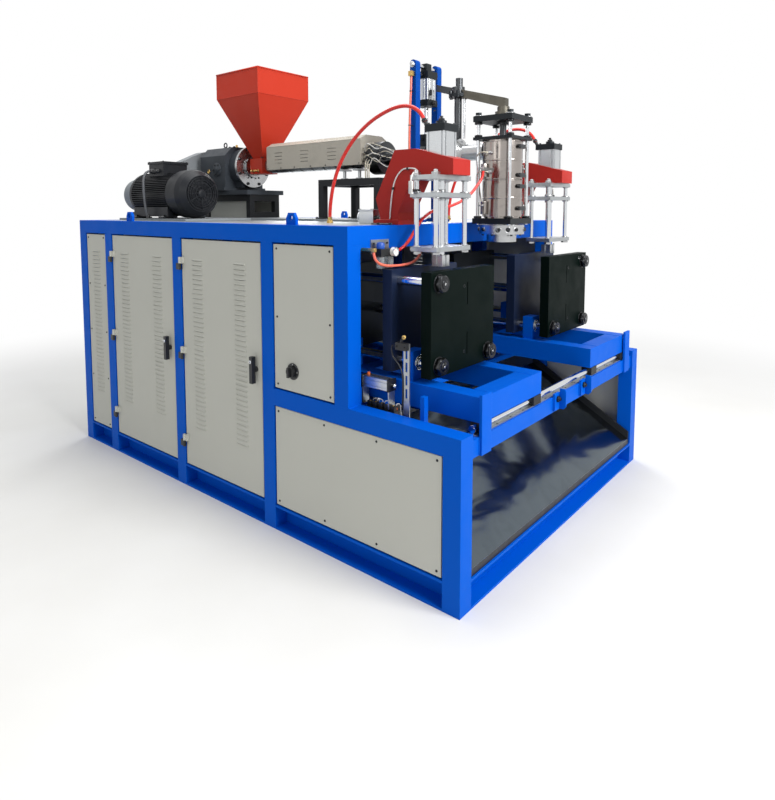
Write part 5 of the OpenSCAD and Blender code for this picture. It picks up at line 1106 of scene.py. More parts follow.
# %% [markdown]
# ## Die head
# The head is a heated steel body wrapped in two stainless heater strips. Each strip has a rolled edge
# and is drawn tight by bolts through its ears. Thermocouples stand in their own bosses, with wires in
# glass fibre sleeve, and bolts round the ring below push the die until the wall of the tube is even.
# The strips could be bent from flat sheet in mesh code, but the solids have them already, so only the
# edges, bolts, bosses and wires are added, all on the tilting extruder body.

# %% Heater strips
HEAD_X, STRIP_R = 1.090, 0.100


def round_head(azimuth, radius, z):
    a = math.radians(azimuth)
    return (HEAD_X + radius * math.cos(a), radius * math.sin(a), z)


def outward(azimuth):
    return (math.cos(math.radians(azimuth)), math.sin(math.radians(azimuth)), 0)


strips = Part()
for z in (1.4830, 1.6632, 1.6702, 1.8542):
    strips.washer((HEAD_X, 0, z), (0, 0, 1), STRIP_R + 0.0022, STRIP_R - 0.001, 0.0028, 0, 96)
for z in (1.5720, 1.7600):
    strips.washer((HEAD_X, 0, z), (0, 0, 1), STRIP_R + 0.0012, STRIP_R - 0.001, 0.0100, 0, 96)
EAR_X = 1.1970           # m, where the bolts go through the ears
for z in (1.525, 1.635, 1.690, 1.831):
    strips.rod((EAR_X, -0.034, z), (EAR_X, 0.034, z), 0.0032, 14, 1)
    for side in (-1, 1):
        strips.rings([(0.0060, 0, "hex"), (0.0060, 0.006, "hex"), (0.0052, 0.007)],
                     (EAR_X, side * 0.0262, z), (0, side, 0), 24, 1)
strips.done("heater_strip_trim", "extruder", "machined_steel", BAND, BOLT)

# %% [markdown]
# ## Thermocouples
# A thermocouple is a probe in a threaded boss that tells the controller how hot the steel is. Its lead
# wears a glass fibre sleeve and bends back over the head. The boss is placed by its azimuth round the
# head, and the lead starts at its tip.

# %% Thermocouples
PROBE_AT = -96           # degrees round the head
LEAD_OUT = ((0, 0, 0), (-0.006, -0.010, 0.001), (-0.024, -0.012, 0.003), (-0.050, 0.000, 0.000),
            (-0.074, 0.020, -0.010))
probes = Part()
for z in (1.800, 1.705):
    probes.rings([(0.0095, 0), (0.0100, 0.001), (0.0100, 0.005), (0.0062, 0.006), (0.0062, 0.010, "hex"),
                  (0.0062, 0.016, "hex"), (0.0036, 0.017), (0.0036, 0.024)],
                 round_head(PROBE_AT, STRIP_R - 0.001, z), outward(PROBE_AT), 24, 1)
    tip = Vector(round_head(PROBE_AT, STRIP_R + 0.022, z))
    back = [Vector(p) for p in ((0.9800, -0.0700, z - 0.030), (0.9690, -0.0450, z - 0.080),
                                (0.9760, -0.0250, 1.6000), (0.9820, -0.0180, 1.5300))]
    probes.tube(smooth([tip + Vector(step) for step in LEAD_OUT] + back, 5), 0.0030, 10)
print("bosses and leads have", len(probes.bm.faces), "faces")

# %% [markdown]
# ## Terminal boxes
# Each heater strip has three small terminal boxes with two screw posts. They could be left to a
# texture, but they stand out from the round body and throw shadows. They join the thermocouples in
# one piece, since both ride on the head.

# %% Terminal boxes
for azimuth in (-118, 62, 150):
    turn = Matrix.Rotation(math.radians(azimuth), 3, "Z")
    for low, high in ((1.4950, 1.5600), (1.6820, 1.7480)):
        box = round_head(azimuth, STRIP_R + 0.008, (low + high) / 2)
        probes.block((box[0] - 0.009, box[1] - 0.019, low), (box[0] + 0.009, box[1] + 0.019, high),
                     0.003, 2, turn)
        for side in (-0.009, 0.009):
            post = Vector(box) + turn @ Vector((0.009, side, 0.012))
            probes.rings([(0.0048, 0), (0.0048, 0.006), (0.0032, 0.007), (0.0032, 0.010)], post,
                         outward(azimuth), 16, 1)
probes.done("head_probes", "extruder", "machined_steel", SLEEVE, BRIGHT, BAND)

# %% [markdown]
# ## Die bolts
# Eight bolts point at the die from the ring around it, and push it until the wall of the tube is even.
# Between them are two pin holes for the spanner, each a bright rim round a dark disc of painted shade. The
# bolts are placed by azimuth, the screws under the ring by a bolt circle.

# %% Die bolts
RING_Z = 1.4190
die = Part()
for k in range(8):
    azimuth = 22.5 + 45 * k
    die.washer(round_head(azimuth, 0.1126, RING_Z), outward(azimuth), 0.0120, 0.0062, 0.0018, 1, 24)
    die.rings([(0.0085, 0, "hex"), (0.0085, 0.0060, "hex"), (0.0074, 0.0075), (0.0060, 0.0075)],
              round_head(azimuth, 0.1142, RING_Z), outward(azimuth), 24)
for azimuth in (-45, 135):
    hole = round_head(azimuth, 0.1120, RING_Z)
    die.washer(hole, outward(azimuth), 0.0150, 0.0122, 0.0016, 1, 36)
    # The dark disc is painted shade for the depth of the pin hole.
    die.rings([(0.0124, 0), (0.0124, 0.0012), (0.0100, 0.0012)], hole, outward(azimuth), 36)
for u, v in circle(0.094, 6, 30):
    die.screw((HEAD_X + u, v, 1.3952), (0, 0, -1), 0.008)
die.washer((HEAD_X, 0, 1.4400), (0, 0, 1), 0.1138, 0.1120, 0.0030, 1, 96)
print("die bolts have", len(die.bm.faces), "faces")

# %% [markdown]
# ## Rod nuts
# The four rods that hold the head plates have a nut on the lower and on the middle plate, and one under
# the upper plate. The nut on top of that one is a solid already, so it only gets a washer round its
# foot. Everything repeats at four corners, so one pair of loops places it, in the same piece as the
# die bolts.

# %% Rod nuts
ROD_OUT = 0.089          # m from the middle of the head to a rod, both ways
for x in (-ROD_OUT, ROD_OUT):
    for y in (-ROD_OUT, ROD_OUT):
        for z in (1.4752, 1.8812, 1.9448):
            die.hexagon((HEAD_X + x, y, z), (0, 0, 1), 34)
        die.washer((HEAD_X + x, y, 1.9852), (0, 0, 1), 0.0230, 0.0120, 0.0026, 1, 32)
for u, v in circle(0.045, 6, 30):
    die.screw((HEAD_X + u, v, 1.8812), (0, 0, 1), 0.008)
die.done("die_bolts", "extruder", "machined_steel", BOLT, BRIGHT)

# %% [markdown]
# ## Lifting gear
# The upright cylinder over the melt pipe lifts the extruder and its head by a few centimetres, so
# that the tube can be cut free. Its barrel is an extruded aluminium profile with grooves for
# switches. The profile is an outline with a thickness, drawn round the plain tube of the solid, and it
# rides on the swinging cylinder.

# %% Lift cylinder profile
HALF, GROOVE, DEEP = 0.0390, 0.0045, 0.0060      # m: half the side, half a groove, its depth
OFF, CUT = 0.018, 0.004                          # m: groove from the middle, corner cut off


def profile(half, groove, deep):
    """One side of a grooved square, turned four times."""
    side = [(half, -half + CUT), (half, -OFF - groove), (half - deep, -OFF - groove),
            (half - deep, -OFF + groove), (half, -OFF + groove), (half, OFF - groove),
            (half - deep, OFF - groove), (half - deep, OFF + groove), (half, OFF + groove),
            (half, half - CUT), (half - CUT, half)]
    return [(c * u - s * v, s * u + c * v) for c, s in ((1, 0), (0, 1), (-1, 0), (0, -1)) for u, v in side]


LIFT_X = 0.608
CAP_FACE, CAP = 2.1182, 0.0500                   # m, top and thickness of the lower cap
lift = Part()
lift.plate([(LIFT_X + u, v) for u, v in profile(HALF, GROOVE, DEEP)], 2.1183, 2.2317)
for dx in (-0.034, 0.034):
    for dy in (-0.034, 0.034):
        lift.screw((LIFT_X + dx, dy, CAP_FACE - CAP), (0, 0, -1), 0.007, 1)
PORT = [(0.0095, 0, "hex"), (0.0095, 0.008, "hex"), (0.0075, 0.010), (0.0075, 0.018), (0.0062, 0.020)]
lift.rings(PORT, (LIFT_X, -0.0450, 2.2500), (0, -1, 0), 24, 2)
lift.rings(PORT, (LIFT_X + 0.0450, 0, 2.0980), (1, 0, 0), 24, 2)
lift.block((LIFT_X + 0.0385, -0.0245, 2.1400), (LIFT_X + 0.0500, -0.0115, 2.1700), 0.0015, 2)
lift.tube(smooth([(LIFT_X + 0.0470, -0.0180, 2.1410), (LIFT_X + 0.0480, -0.0180, 2.1300),
                  (LIFT_X + 0.0470, -0.0200, 2.1150)]), 0.0020, 8, 2)
lift.done("lift_profile", "lift_cylinder", "machined_steel", ALU, BOLT, BLACK)

# %% [markdown]
# ## Lift posts
# The two blue posts carry the cylinder on a cross pin. They are bolted and welded to the deck, and
# clips hold the air hose against the near one. A nut at both ends keeps the pin in place.

# %% Post fittings
POST_FOOT = 1.4643       # m, height of the beads round the posts
posts = Part()
for z, y in ((2.1510, -0.1384), (1.9690, -0.1480), (1.7500, -0.1492)):
    posts.washer((LIFT_X, y, z - 0.0025), (0, 0, 1), 0.0078, 0.0058, 0.0050, 1, 20)
    posts.block((LIFT_X - 0.0030, y + 0.005, z - 0.0025), (LIFT_X + 0.0030, -0.1198, z + 0.0025), 0.0006, 1)
for side in (-1, 1):
    posts.hexagon((LIFT_X, side * 0.1280, 2.2940), (0, side, 0), 22)
    for x in (0.566, 0.650):
        for y in (0.090, 0.136):
            posts.rings([(0.0110, 0, "hex"), (0.0110, 0.0080, "hex"), (0.0095, 0.0100), (0.0065, 0.0100),
                         (0.0065, 0.0150)], (x, side * y, 1.4641), n=24, slot=0)
    # The beads round the posts take the same blue with its painted shade.
    posts.weld((0.5902, side * 0.1203, POST_FOOT), (0.6258, side * 0.1203, POST_FOOT), 0.0045, 2)
    posts.weld((0.6283, side * 0.0820, POST_FOOT), (0.6283, side * 0.1180, POST_FOOT), 0.0045, 2)
posts.done("lift_post_trim", "base", "machined_steel", BRIGHT, BLACK, BLUE_SHADE_PAINTED)

# %% [markdown]
# ## Pressure gauge
# Air comes in through a filter, a regulator and a lubricator, and the regulator has a gauge. Its bezel
# is chromed, its scale is a plain row of strokes and its hand is red. A picture could give the scale,
# but strokes in mesh stay sharp and need no file. The blue cap on top of the filter is turned too.

# %% Pressure gauge
GAUGE_Y, GAUGE_Z, HAND_AT = -0.742, 1.338, math.radians(122)


def stroke(part, x, radius, a, long, half, slot):
    """A thin bar that points outward from the middle of the gauge."""
    mid = Vector((x, GAUGE_Y + radius * math.cos(a), GAUGE_Z + radius * math.sin(a)))
    reach = Vector((0.0002, long / 2, half))
    part.block(mid - reach, mid + reach, 0, slot, Matrix.Rotation(a, 3, "X"))


air = Part()
air.rings([(0.0175, 0), (0.0185, 0.002), (0.0185, 0.016), (0.0150, 0.026), (0.0060, 0.028)],
          (0.954, -0.800, 1.3522), n=32, slot=0)
air.washer((0.9905, GAUGE_Y, GAUGE_Z), (1, 0, 0), 0.0200, 0.0170, 0.0035, 1, 48)
for k in range(11):
    stroke(air, 0.9908, 0.0142, math.radians(225 - 27 * k), 0.0030 if k % 5 else 0.0048, 0.0004, 2)
stroke(air, 0.9912, 0.0045, HAND_AT, 0.0160, 0.0005, 3)
air.rings([(0.0022, 0), (0.0022, 0.0012), (0.0014, 0.0016)], (0.9906, GAUGE_Y, GAUGE_Z), (1, 0, 0), 16, 1)
print("gauge and cap have", len(air.bm.faces), "faces")

# %% [markdown]
# ## Bowl rings and bracket
# A black ring screws each clear bowl to its head, and a drain stands out below. Two screws hold the
# bracket of the whole set. They join the gauge in one piece, since all of it stays on the frame.

# %% Bowl rings and bracket screws
for y in (-0.800, -0.740):
    air.washer((0.954, y, 1.3170), (0, 0, 1), 0.0198, 0.0175, 0.0050, 2, 40)
    air.rings([(0.0060, 0), (0.0060, 0.006), (0.0035, 0.008), (0.0035, 0.012)], (0.954, y, 1.2680),
              (0, 0, -1), 20, 2)
for y in (-0.815, -0.725):
    air.screw((0.9262, y, 1.3740), (1, 0, 0), 0.006, 2)
air.done("air_service_trim", "base", "black_fittings", BLUE_CAP, CHROME, BLACK, RED_CLIP)

# %% [markdown]
# ## Valve bank
# Five equal valves sit side by side on an aluminium bar. Each gets a solenoid, an orange push-in ring,
# a brass vent and a thin wire, in one loop with a 32 mm step.

# %% Valve bank details
FIRST_VALVE, STEP = 0.941, 0.032
valves = Part()
for k in range(5):
    x = FIRST_VALVE + STEP * k
    valves.block((x - 0.0110, -0.8625, 0.6788), (x + 0.0110, -0.8420, 0.7000), 0.0025, 0)
    valves.rings([(0.0070, 0), (0.0070, 0.004), (0.0052, 0.005), (0.0052, 0.008)],
                 (x, -0.8340, 0.6790), n=20, slot=1)
    valves.rings([(0.0040, 0), (0.0040, 0.003), (0.0028, 0.0036)], (x, -0.8525, 0.7000), n=16, slot=2)
    valves.tube(smooth([(x, -0.8400, 0.6930), (x + 0.002, -0.8300, 0.7030), (x + 0.004, -0.8150, 0.6980),
                        (x + 0.004, -0.8080, 0.6700), (x + 0.003, -0.8060, 0.6250)], 4), 0.0018, 8, 3)
for x in (0.9300, 1.0800):
    valves.rings([(0.0085, 0, "hex"), (0.0085, 0.006, "hex"), (0.0068, 0.008), (0.0068, 0.012)],
                 (x, -0.8702, 0.6250), (0, -1, 0), 24, 2)
valves.done("valve_trim", "base", "black_fittings", BLACK, ORANGE, BRASS, WIRE)

# %% [markdown]
# ## Small air cylinder
# Beside the bed a small square air cylinder lies on two feet, with an orange push-in ring at its
# port. It reuses the grooved outline of the lift cylinder at a smaller size.

# %% Small air cylinder
SMALL_Y, SMALL_Z, SMALLER = -0.850, 0.786, 0.62
small = Part()
small.plate([(SMALL_Y + u * SMALLER, SMALL_Z + v * SMALLER) for u, v in profile(HALF, GROOVE, DEEP)],
            0.916, 1.052, "x")
for x in (0.9080, 1.0520):
    small.block((x, -0.8765, 0.7600), (x + 0.0080, -0.8235, 0.8125), 0.0015, 1)
    small.block((x, -0.8700, 0.6852), (x + 0.0060, -0.8300, 0.7602), 0.0010, 2)
small.rings([(0.0070, 0), (0.0070, 0.006), (0.0058, 0.008), (0.0058, 0.012)],
            (0.9290, SMALL_Y, 0.8100), n=24, slot=3)
small.rod((1.0600, SMALL_Y, SMALL_Z), (1.0820, SMALL_Y, SMALL_Z), 0.0060, 20, 4, 0.001)
small.hexagon((1.0700, SMALL_Y, SMALL_Z), (1, 0, 0), 18, 4)
small.done("small_cylinder", "base", "machined_steel", ALU, BLACK, ZINC, ORANGE, CHROME)

# %% [markdown]
# ## Roller switch
# The zinc bar in front of the bed carries the switch that the carriage meets at the end of its way: a
# bent steel lever with a brass roller. The lever is an outline with a thickness, the roller is turned,
# and the cable sags from its gland to the bed.

# %% Roller switch
roller = Part()
roller.plate([(1.1120, 0.9780), (1.1200, 0.9775), (1.1420, 1.0000), (1.1400, 1.0080), (1.1320, 1.0080),
              (1.1130, 0.9880)], -0.8660, -0.8620, "y", 0.0008, 0)
roller.rings([(0.0060, 0), (0.0095, 0.0005), (0.0095, 0.0070), (0.0060, 0.0075)], (1.1370, -0.8662, 1.0025),
             (0, -1, 0), 28, 1)
roller.rings([(0.0026, 0), (0.0026, 0.010), (0.0016, 0.011)], (1.1370, -0.8660, 1.0025), (0, -1, 0), 16, 0)
roller.rings([(0.0055, 0), (0.0055, 0.003), (0.0045, 0.005)], (1.1160, -0.8632, 0.9760), (0, 0, 1), 20, 2)
for x in (1.1010, 1.1410):
    roller.screw((x, -0.8730, 0.9620), (0, -1, 0), 0.004, 0)
roller.gland((1.0930, -0.8630, 0.9600), (-1, 0, 0), 0.012, 2)
roller.tube(smooth([(1.0790, -0.8630, 0.9600), (1.0700, -0.8630, 0.9580), (1.0640, -0.8600, 0.9420),
                    (1.0700, -0.8560, 0.9100), (1.0980, -0.8530, 0.8800), (1.1180, -0.8545, 0.8400),
                    (1.1200, -0.8550, 0.7600), (1.1180, -0.8550, 0.6950)]), 0.0032, 10, 2)
roller.done("roller_switch", "base", "black_fittings", BOLT, BRASS, BLACK)

# %% [markdown]
# ## Motor
# The motor stands on four feet with a bolt through each. Its lid is a shallow box with corner screws,
# and the supply cable leaves it through a gland, bends over the ribs and goes down to the plate. On
# top stands the eye that a crane lifts it by, a bent rod that is drawn as a ring.

# %% Motor details
AXIS_Y, AXIS_Z = -0.570, 1.6173
motor = Part()
for x in (-1.242, -0.918):
    for y in (-0.706, -0.434):
        motor.washer((x, y, 1.4741), (0, 0, 1), 0.0130, 0.0060, 0.0022, 1, 24)
        motor.hexagon((x, y, 1.4762), (0, 0, 1), 19)
for x in (-1.134, -0.968):
    for y in (-0.663, -0.497):
        motor.button((x, y, 1.8253), (0, 0, 1), 0.006, 0)
motor.gland((-1.080, -0.6650, 1.765), (0, -1, 0), 0.024, 2)
motor.gland((-1.025, -0.6650, 1.765), (0, -1, 0), 0.018, 2)
motor.tube(smooth([(-1.080, -0.690, 1.765), (-1.080, -0.706, 1.762), (-1.078, -0.728, 1.745),
                   (-1.075, -0.741, 1.705), (-1.072, -0.744, 1.650), (-1.070, -0.742, 1.590),
                   (-1.068, -0.736, 1.530), (-1.066, -0.728, 1.490), (-1.065, -0.722, 1.4640)]),
           0.0075, 14, 3)
motor.gland((-1.065, -0.7215, 1.4624), (0, 0, 1), 0.020, 2)
motor.rings([(0.0120, 0), (0.0120, 0.006), (0.0060, 0.010), (0.0060, 0.016)],
            (-1.190, AXIS_Y, 1.7660), n=24, slot=1)
motor.tube([(-1.190, AXIS_Y + 0.017 * math.sin(math.radians(15 * k)),
             1.7970 - 0.017 * math.cos(math.radians(15 * k))) for k in range(25)], 0.0048, 10, 1)
motor.done("motor_trim", "extruder", "machined_steel", BOLT, BRIGHT, BLACK, GREY_CABLE)

# %% [markdown]
# ## Fan cover
# The fan cover is a pressed sheet with rings of slots. They are drawn as raised wire rings and spokes:
# cut slots would need a hollow sheet behind them, and nobody sees it.

# %% Fan grille
FAN_X, FAN_WIRE = -0.6912, 0.0022
fan = Part()
for radius in (0.028, 0.046, 0.064, 0.082, 0.100):
    fan.tube([(FAN_X, AXIS_Y + radius * math.sin(math.radians(7.5 * k)),
               AXIS_Z + radius * math.cos(math.radians(7.5 * k))) for k in range(49)], FAN_WIRE, 6)
for k in range(12):
    a = math.radians(30 * k)
    fan.tube([(FAN_X, AXIS_Y + r * math.sin(a), AXIS_Z + r * math.cos(a))
              for r in (0.026, 0.060, 0.102)], FAN_WIRE, 6)
fan.rings([(0.0250, 0), (0.0250, 0.0020), (0.0200, 0.0040), (0.0040, 0.0050)], (-0.6922, AXIS_Y, AXIS_Z),
          (1, 0, 0), 32)
for k in range(4):
    a = math.radians(45 + 90 * k)
    fan.button((-0.842, AXIS_Y + 0.1500 * math.cos(a), AXIS_Z + 0.1500 * math.sin(a)),
               (0, math.cos(a), math.sin(a)), 0.006, 1)
fan.done("fan_grille", "extruder", "drive_black", MOTOR, BOLT)

# %% [markdown]
# ## Gearbox lid and feet
# The gearbox is an iron casting with an inspection lid, a breather plug on it, and bolts down through
# its feet. The casting is a solid already, so only what is screwed into it is made.

# %% Gearbox lid and feet
gear = Part()
gear.block((-1.150, -0.070, 1.9571), (-1.030, 0.070, 1.9640), 0.002, 2)
for x in (-1.142, -1.090, -1.038):
    for y in (-0.062, 0.062):
        gear.hexagon((x, y, 1.9638), (0, 0, 1), 13)
gear.rings([(0.0110, 0, "hex"), (0.0110, 0.009, "hex"), (0.0090, 0.011), (0.0090, 0.020),
            (0.0070, 0.023)], (-1.090, 0, 1.9638), n=24, slot=1)
for x in (-1.300, -1.160, -1.020):
    for y in (-0.154, 0.154):
        gear.hexagon((x, y, 1.6743), (0, 0, 1), 19)
print("lid and feet have", len(gear.bm.faces), "faces")

# %% [markdown]
# ## Gearbox sides
# On both sides there is a brass oil glass, a drain plug and a round bearing cover with six screws. Eight
# bolts ring the output, round the line of the screw. They all go into the piece begun above.

# %% Gearbox sides
SCREW_Z = 1.820          # m, height of the extruder's screw
GEAR_SIDE = 0.165
for side in (-1, 1):
    gear.rings([(0.0150, 0), (0.0150, 0.0030), (0.0130, 0.0045), (0.0105, 0.0045), (0.0100, 0.0030)],
               (-1.200, side * GEAR_SIDE, 1.790), (0, side, 0), 32, 1)
    gear.hexagon((-1.270, side * GEAR_SIDE, 1.700), (0, side, 0), 21, 1)
    gear.rings([(0.0480, 0), (0.0480, 0.004), (0.0460, 0.006), (0.0200, 0.006), (0.0180, 0.008)],
               (-1.100, side * GEAR_SIDE, 1.800), (0, side, 0), 48, 2)
    for u, v in circle(0.038, 6):
        gear.hexagon((-1.100 + u, side * 0.1710, 1.800 + v), (0, side, 0), 11)
for u, v in circle(0.128, 8, 22.5):
    gear.hexagon((-0.9040, u, SCREW_Z + v), (1, 0, 0), 19)
gear.done("gearbox_trim", "extruder", "machined_steel", BOLT, BRASS, GEARBOX)

# %% [markdown]
# ## Belt guard
# The sheet guard over the belts is held by six screws with a washer under each. They follow the slanted
# outline of the guard, so their places are written out.

# %% Guard screws
GUARD_X = -1.4480
guard = Part()
for y, z in ((-0.560, 1.560), (-0.620, 1.680), (-0.330, 1.780), (-0.060, 1.905), (0.060, 1.800),
             (-0.140, 1.640)):
    guard.rings([(0.0120, 0), (0.0120, 0.0015), (0.0070, 0.0015, "hex"), (0.0070, 0.0060, "hex"),
                 (0.0060, 0.0070)], (GUARD_X, y, z), (-1, 0, 0), 24)
guard.done("guard_screws", "extruder", "black_fittings", BOLT)

# %% [markdown]
# ## Hopper
# The hopper is folded from sheet. Its rim is turned over, its corners are welded, and it stands on the
# throat with four bolts. The turned rim is a thick rounded edge, which a bare sheet edge can't give.

# %% Hopper rim, corners and bolts
HOP_X, HOP_HALF, HOP_TOP, BAND_Z = -0.788, 0.220, 2.4373, 2.2713
LEFT, RIGHT = HOP_X - HOP_HALF, HOP_X + HOP_HALF
RIM, OUT = HOP_TOP - 0.003, HOP_HALF + 0.0002
hopper = Part()
for side in (-1, 1):
    x, y = HOP_X + side * HOP_HALF, side * HOP_HALF
    hopper.rod((LEFT, y, RIM), (RIGHT, y, RIM), 0.0052, 14)
    hopper.rod((x, -HOP_HALF, RIM), (x, HOP_HALF, RIM), 0.0052, 14)
    hopper.weld((LEFT, side * OUT, BAND_Z), (RIGHT, side * OUT, BAND_Z), 0.0024)
    hopper.weld((HOP_X + side * OUT, -HOP_HALF, BAND_Z), (HOP_X + side * OUT, HOP_HALF, BAND_Z), 0.0024)
    for other in (-1, 1):
        y = other * HOP_HALF
        hopper.weld((x, y, BAND_Z), (x, y, 2.432), 0.0022)
        hopper.weld((HOP_X + side * 0.0502, other * 0.0502, 1.874), (x, y, BAND_Z), 0.0024)
        hopper.hexagon((HOP_X + side * 0.0570, other * 0.0610, 1.8703), (0, 0, 1), 16, 1)
hopper.done("hopper_trim", "extruder", "hopper_red", HOPPER, BOLT)

# %% [markdown]
# ## Feed throat
# Water cools the throat, so that the granules don't melt before they reach the screw. It has two brass
# hose nipples on each side, with the barbs that hold a hose, and a ring of flange bolts.

# %% Throat nipples and bolts
throat = Part()
for side in (-1, 1):
    for x in (-0.812, -0.764):
        throat.rings([(0.0100, 0, "hex"), (0.0100, 0.0080, "hex"), (0.0070, 0.0095), (0.0070, 0.014),
                      (0.0080, 0.016), (0.0065, 0.020), (0.0080, 0.022), (0.0062, 0.027)],
                     (x, side * 0.0670, 1.7850), (0, side, 0), 24)
for u, v in circle(0.0830, 8, 22.5):
    throat.rings([(0.0060, 0, "hex"), (0.0060, 0.0050, "hex"), (0.0052, 0.0062)],
                 (-0.8885, u, SCREW_Z + v), (1, 0, 0), 24, 1)
throat.done("throat_nipples", "extruder", "machined_steel", BRASS, BOLT)

# %% [markdown]
# ## Barrel cover
# The sheet cover keeps hands off the hot barrel. Small screws hold it at the sides, the top and both
# ends, and a fine bead closes the fold. The screws could be a pattern of dots, but their heads have to
# catch the light as the panel screws do.

# %% Cover screws
COVER_BACK, COVER_END = -0.6118, 0.2280
cover = Part()
for side in (-1, 1):
    for x in (-0.600, -0.470, -0.340, -0.192, -0.060, 0.080, 0.216):
        cover.button((x, side * 0.1200, 1.7890), (0, side, 0), 0.005)
    for x in (-0.600, -0.192, 0.216):
        cover.button((x, side * 0.0560, 1.9559), (0, 0, 1), 0.005)
    cover.weld((-0.6110, side * 0.1201, 1.9301), (0.2272, side * 0.1201, 1.9301), 0.0012, 1)
for x in (COVER_BACK, COVER_END):
    for y in (-0.098, 0.098):
        cover.button((x, y, 1.800), (math.copysign(1, x), 0, 0), 0.005)
cover.done("cover_screws", "extruder", "black_fittings", BOLT, COVER)

# %% [markdown]
# ## Melt pipe
# At the cover's end the barrel and the melt pipe are bolted together by two thick flanges, with the
# screws on two bolt circles. The pipe has its own narrow heater strips, each drawn tight by two screws
# through a pair of ears.

# %% Flange screws and pipe heaters
pipe = Part()
for u, v in circle(0.078, 8, 22.5):
    pipe.screw((0.2430, u, SCREW_Z + v), (-1, 0, 0), 0.010)
for u, v in circle(0.060, 6, 30):
    pipe.screw((0.7935, u, SCREW_Z + v), (-1, 0, 0), 0.009)
for strip_x in (0.655, 0.720):
    pipe.washer((strip_x, 0, SCREW_Z), (1, 0, 0), 0.0405, 0.0372, 0.0380, 1, 48)
    for dx in (0.009, 0.029):
        x = strip_x + dx
        for y in (-0.0160, 0.0120):
            pipe.block((x - 0.006, y, SCREW_Z - 0.0560), (x + 0.006, y + 0.0040, SCREW_Z - 0.0360),
                       0.001, 1)
        pipe.rod((x, -0.0210, SCREW_Z - 0.0480), (x, 0.0210, SCREW_Z - 0.0480), 0.0025, 12, 0)
print("screws and pipe heaters have", len(pipe.bm.faces), "faces")

# %% [markdown]
# ## Sleeved leads
# Three leads leave the end of the barrel through small ferrules, in glass fibre sleeve because rubber
# would burn there, and go down through the plate. They are part of the same piece as the pipe heaters.

# %% Sleeved leads
LEAD_DROP = 0.014        # m from one lead down to the next
for k, x in enumerate((0.262, 0.276, 0.290)):
    low = LEAD_DROP * k
    pipe.tube(smooth([(x, -0.0940, SCREW_Z - low), (x + 0.001, -0.1080, SCREW_Z - 0.012 - low),
                      (x + 0.003, -0.1180, 1.7700), (x + 0.004, -0.1205, 1.7200),
                      (x + 0.004, -0.1190, 1.6990)], 5), 0.0036, 10, 2)
    pipe.rings([(0.0052, 0), (0.0056, 0.001), (0.0056, 0.006), (0.0040, 0.008)],
               (x, -0.0900, SCREW_Z - low), (0, -1, 0), 16, 0)
pipe.done("melt_pipe_trim", "extruder", "machined_steel", BOLT, BAND, SLEEVE)

# %% [markdown]
# ## Heater wires
# Where the cover ends, the leads of the heaters and thermocouples come out, wander over the flange in
# loose loops and gather again on the melt pipe under two cable ties. One thick sleeve would be quick,
# but the eye looks for the tangle, so each lead is a tube of its own on a soft curve. Their places
# follow from their number, which gives the same tangle each time.

# %% Heater wires
leads = Part()
for k in range(8):
    low, swing, lean = LEAD_DROP * k, 0.020 * math.sin(2.4 * k), 0.012 * math.cos(1.7 * k)
    leads.tube(smooth([(0.2310, -0.062 - 0.004 * (k % 4), 1.862 - 0.009 * k),
                       (0.2470, -0.104 + 0.4 * lean, 1.884 - low + 0.3 * swing),
                       (0.2850 + lean, -0.116 + 0.4 * lean, 1.896 - low + swing),
                       (0.3400 - lean, -0.112 - 0.5 * lean, 1.892 - low - swing),
                       (0.3950 + lean, -0.098 + lean, 1.862 - 0.8 * low + 1.3 * swing),
                       (0.4600, -0.062 - 0.5 * lean, 1.846 - 0.5 * low - 0.5 * swing),
                       (0.5100, -0.043, 1.836 - 0.35 * low),
                       (0.5740, -0.042, 1.832 - 0.35 * low)], 5), 0.0024 + 0.0005 * (k % 3), 8, k % 3)
for x in (0.5080, 0.5560):
    leads.washer((x, 0, SCREW_Z), (1, 0, 0), 0.0500, 0.0372, 0.0050, 2, 40)
leads.done("heater_leads", "extruder", "machined_steel", SLEEVE, WIRE, BLACK)

# %% [markdown]
# ## Stand feet
# The barrel table stands on four jacks, each on a square foot plate with two bolts and a bead along its
# outer side. A plain box would miss the chamfer that shows where the plate ends, so it is a plate with
# broken edges.

# %% Stand feet
FOOT, JACK_Y = 0.034, 0.145      # m: half a foot plate, and its middle from the machine's
stand = Part()
for x in (-0.057, 0.387):
    for side in (-1, 1):
        y = side * JACK_Y
        stand.plate([(x - FOOT, y - FOOT), (x + FOOT, y - FOOT), (x + FOOT, y + FOOT),
                     (x - FOOT, y + FOOT)], 1.4625, 1.4685, "z", 0.001)
        for d in (-0.027, 0.027):
            stand.hexagon((x + d, y + d, 1.4684), (0, 0, 1), 12, 1)
        stand.weld((x - 0.019, side * 0.1652, 1.4686), (x + 0.019, side * 0.1652, 1.4686), 0.003)
stand.done("stand_feet", "extruder", "drive_black", STAND, BOLT)

# %% [markdown]
# ## Junction box
# On the deck by the near arm stands a small cast box where the heater and switch wires meet. It has a
# screwed lid, two glands and a round chromed socket with a screwed ring.

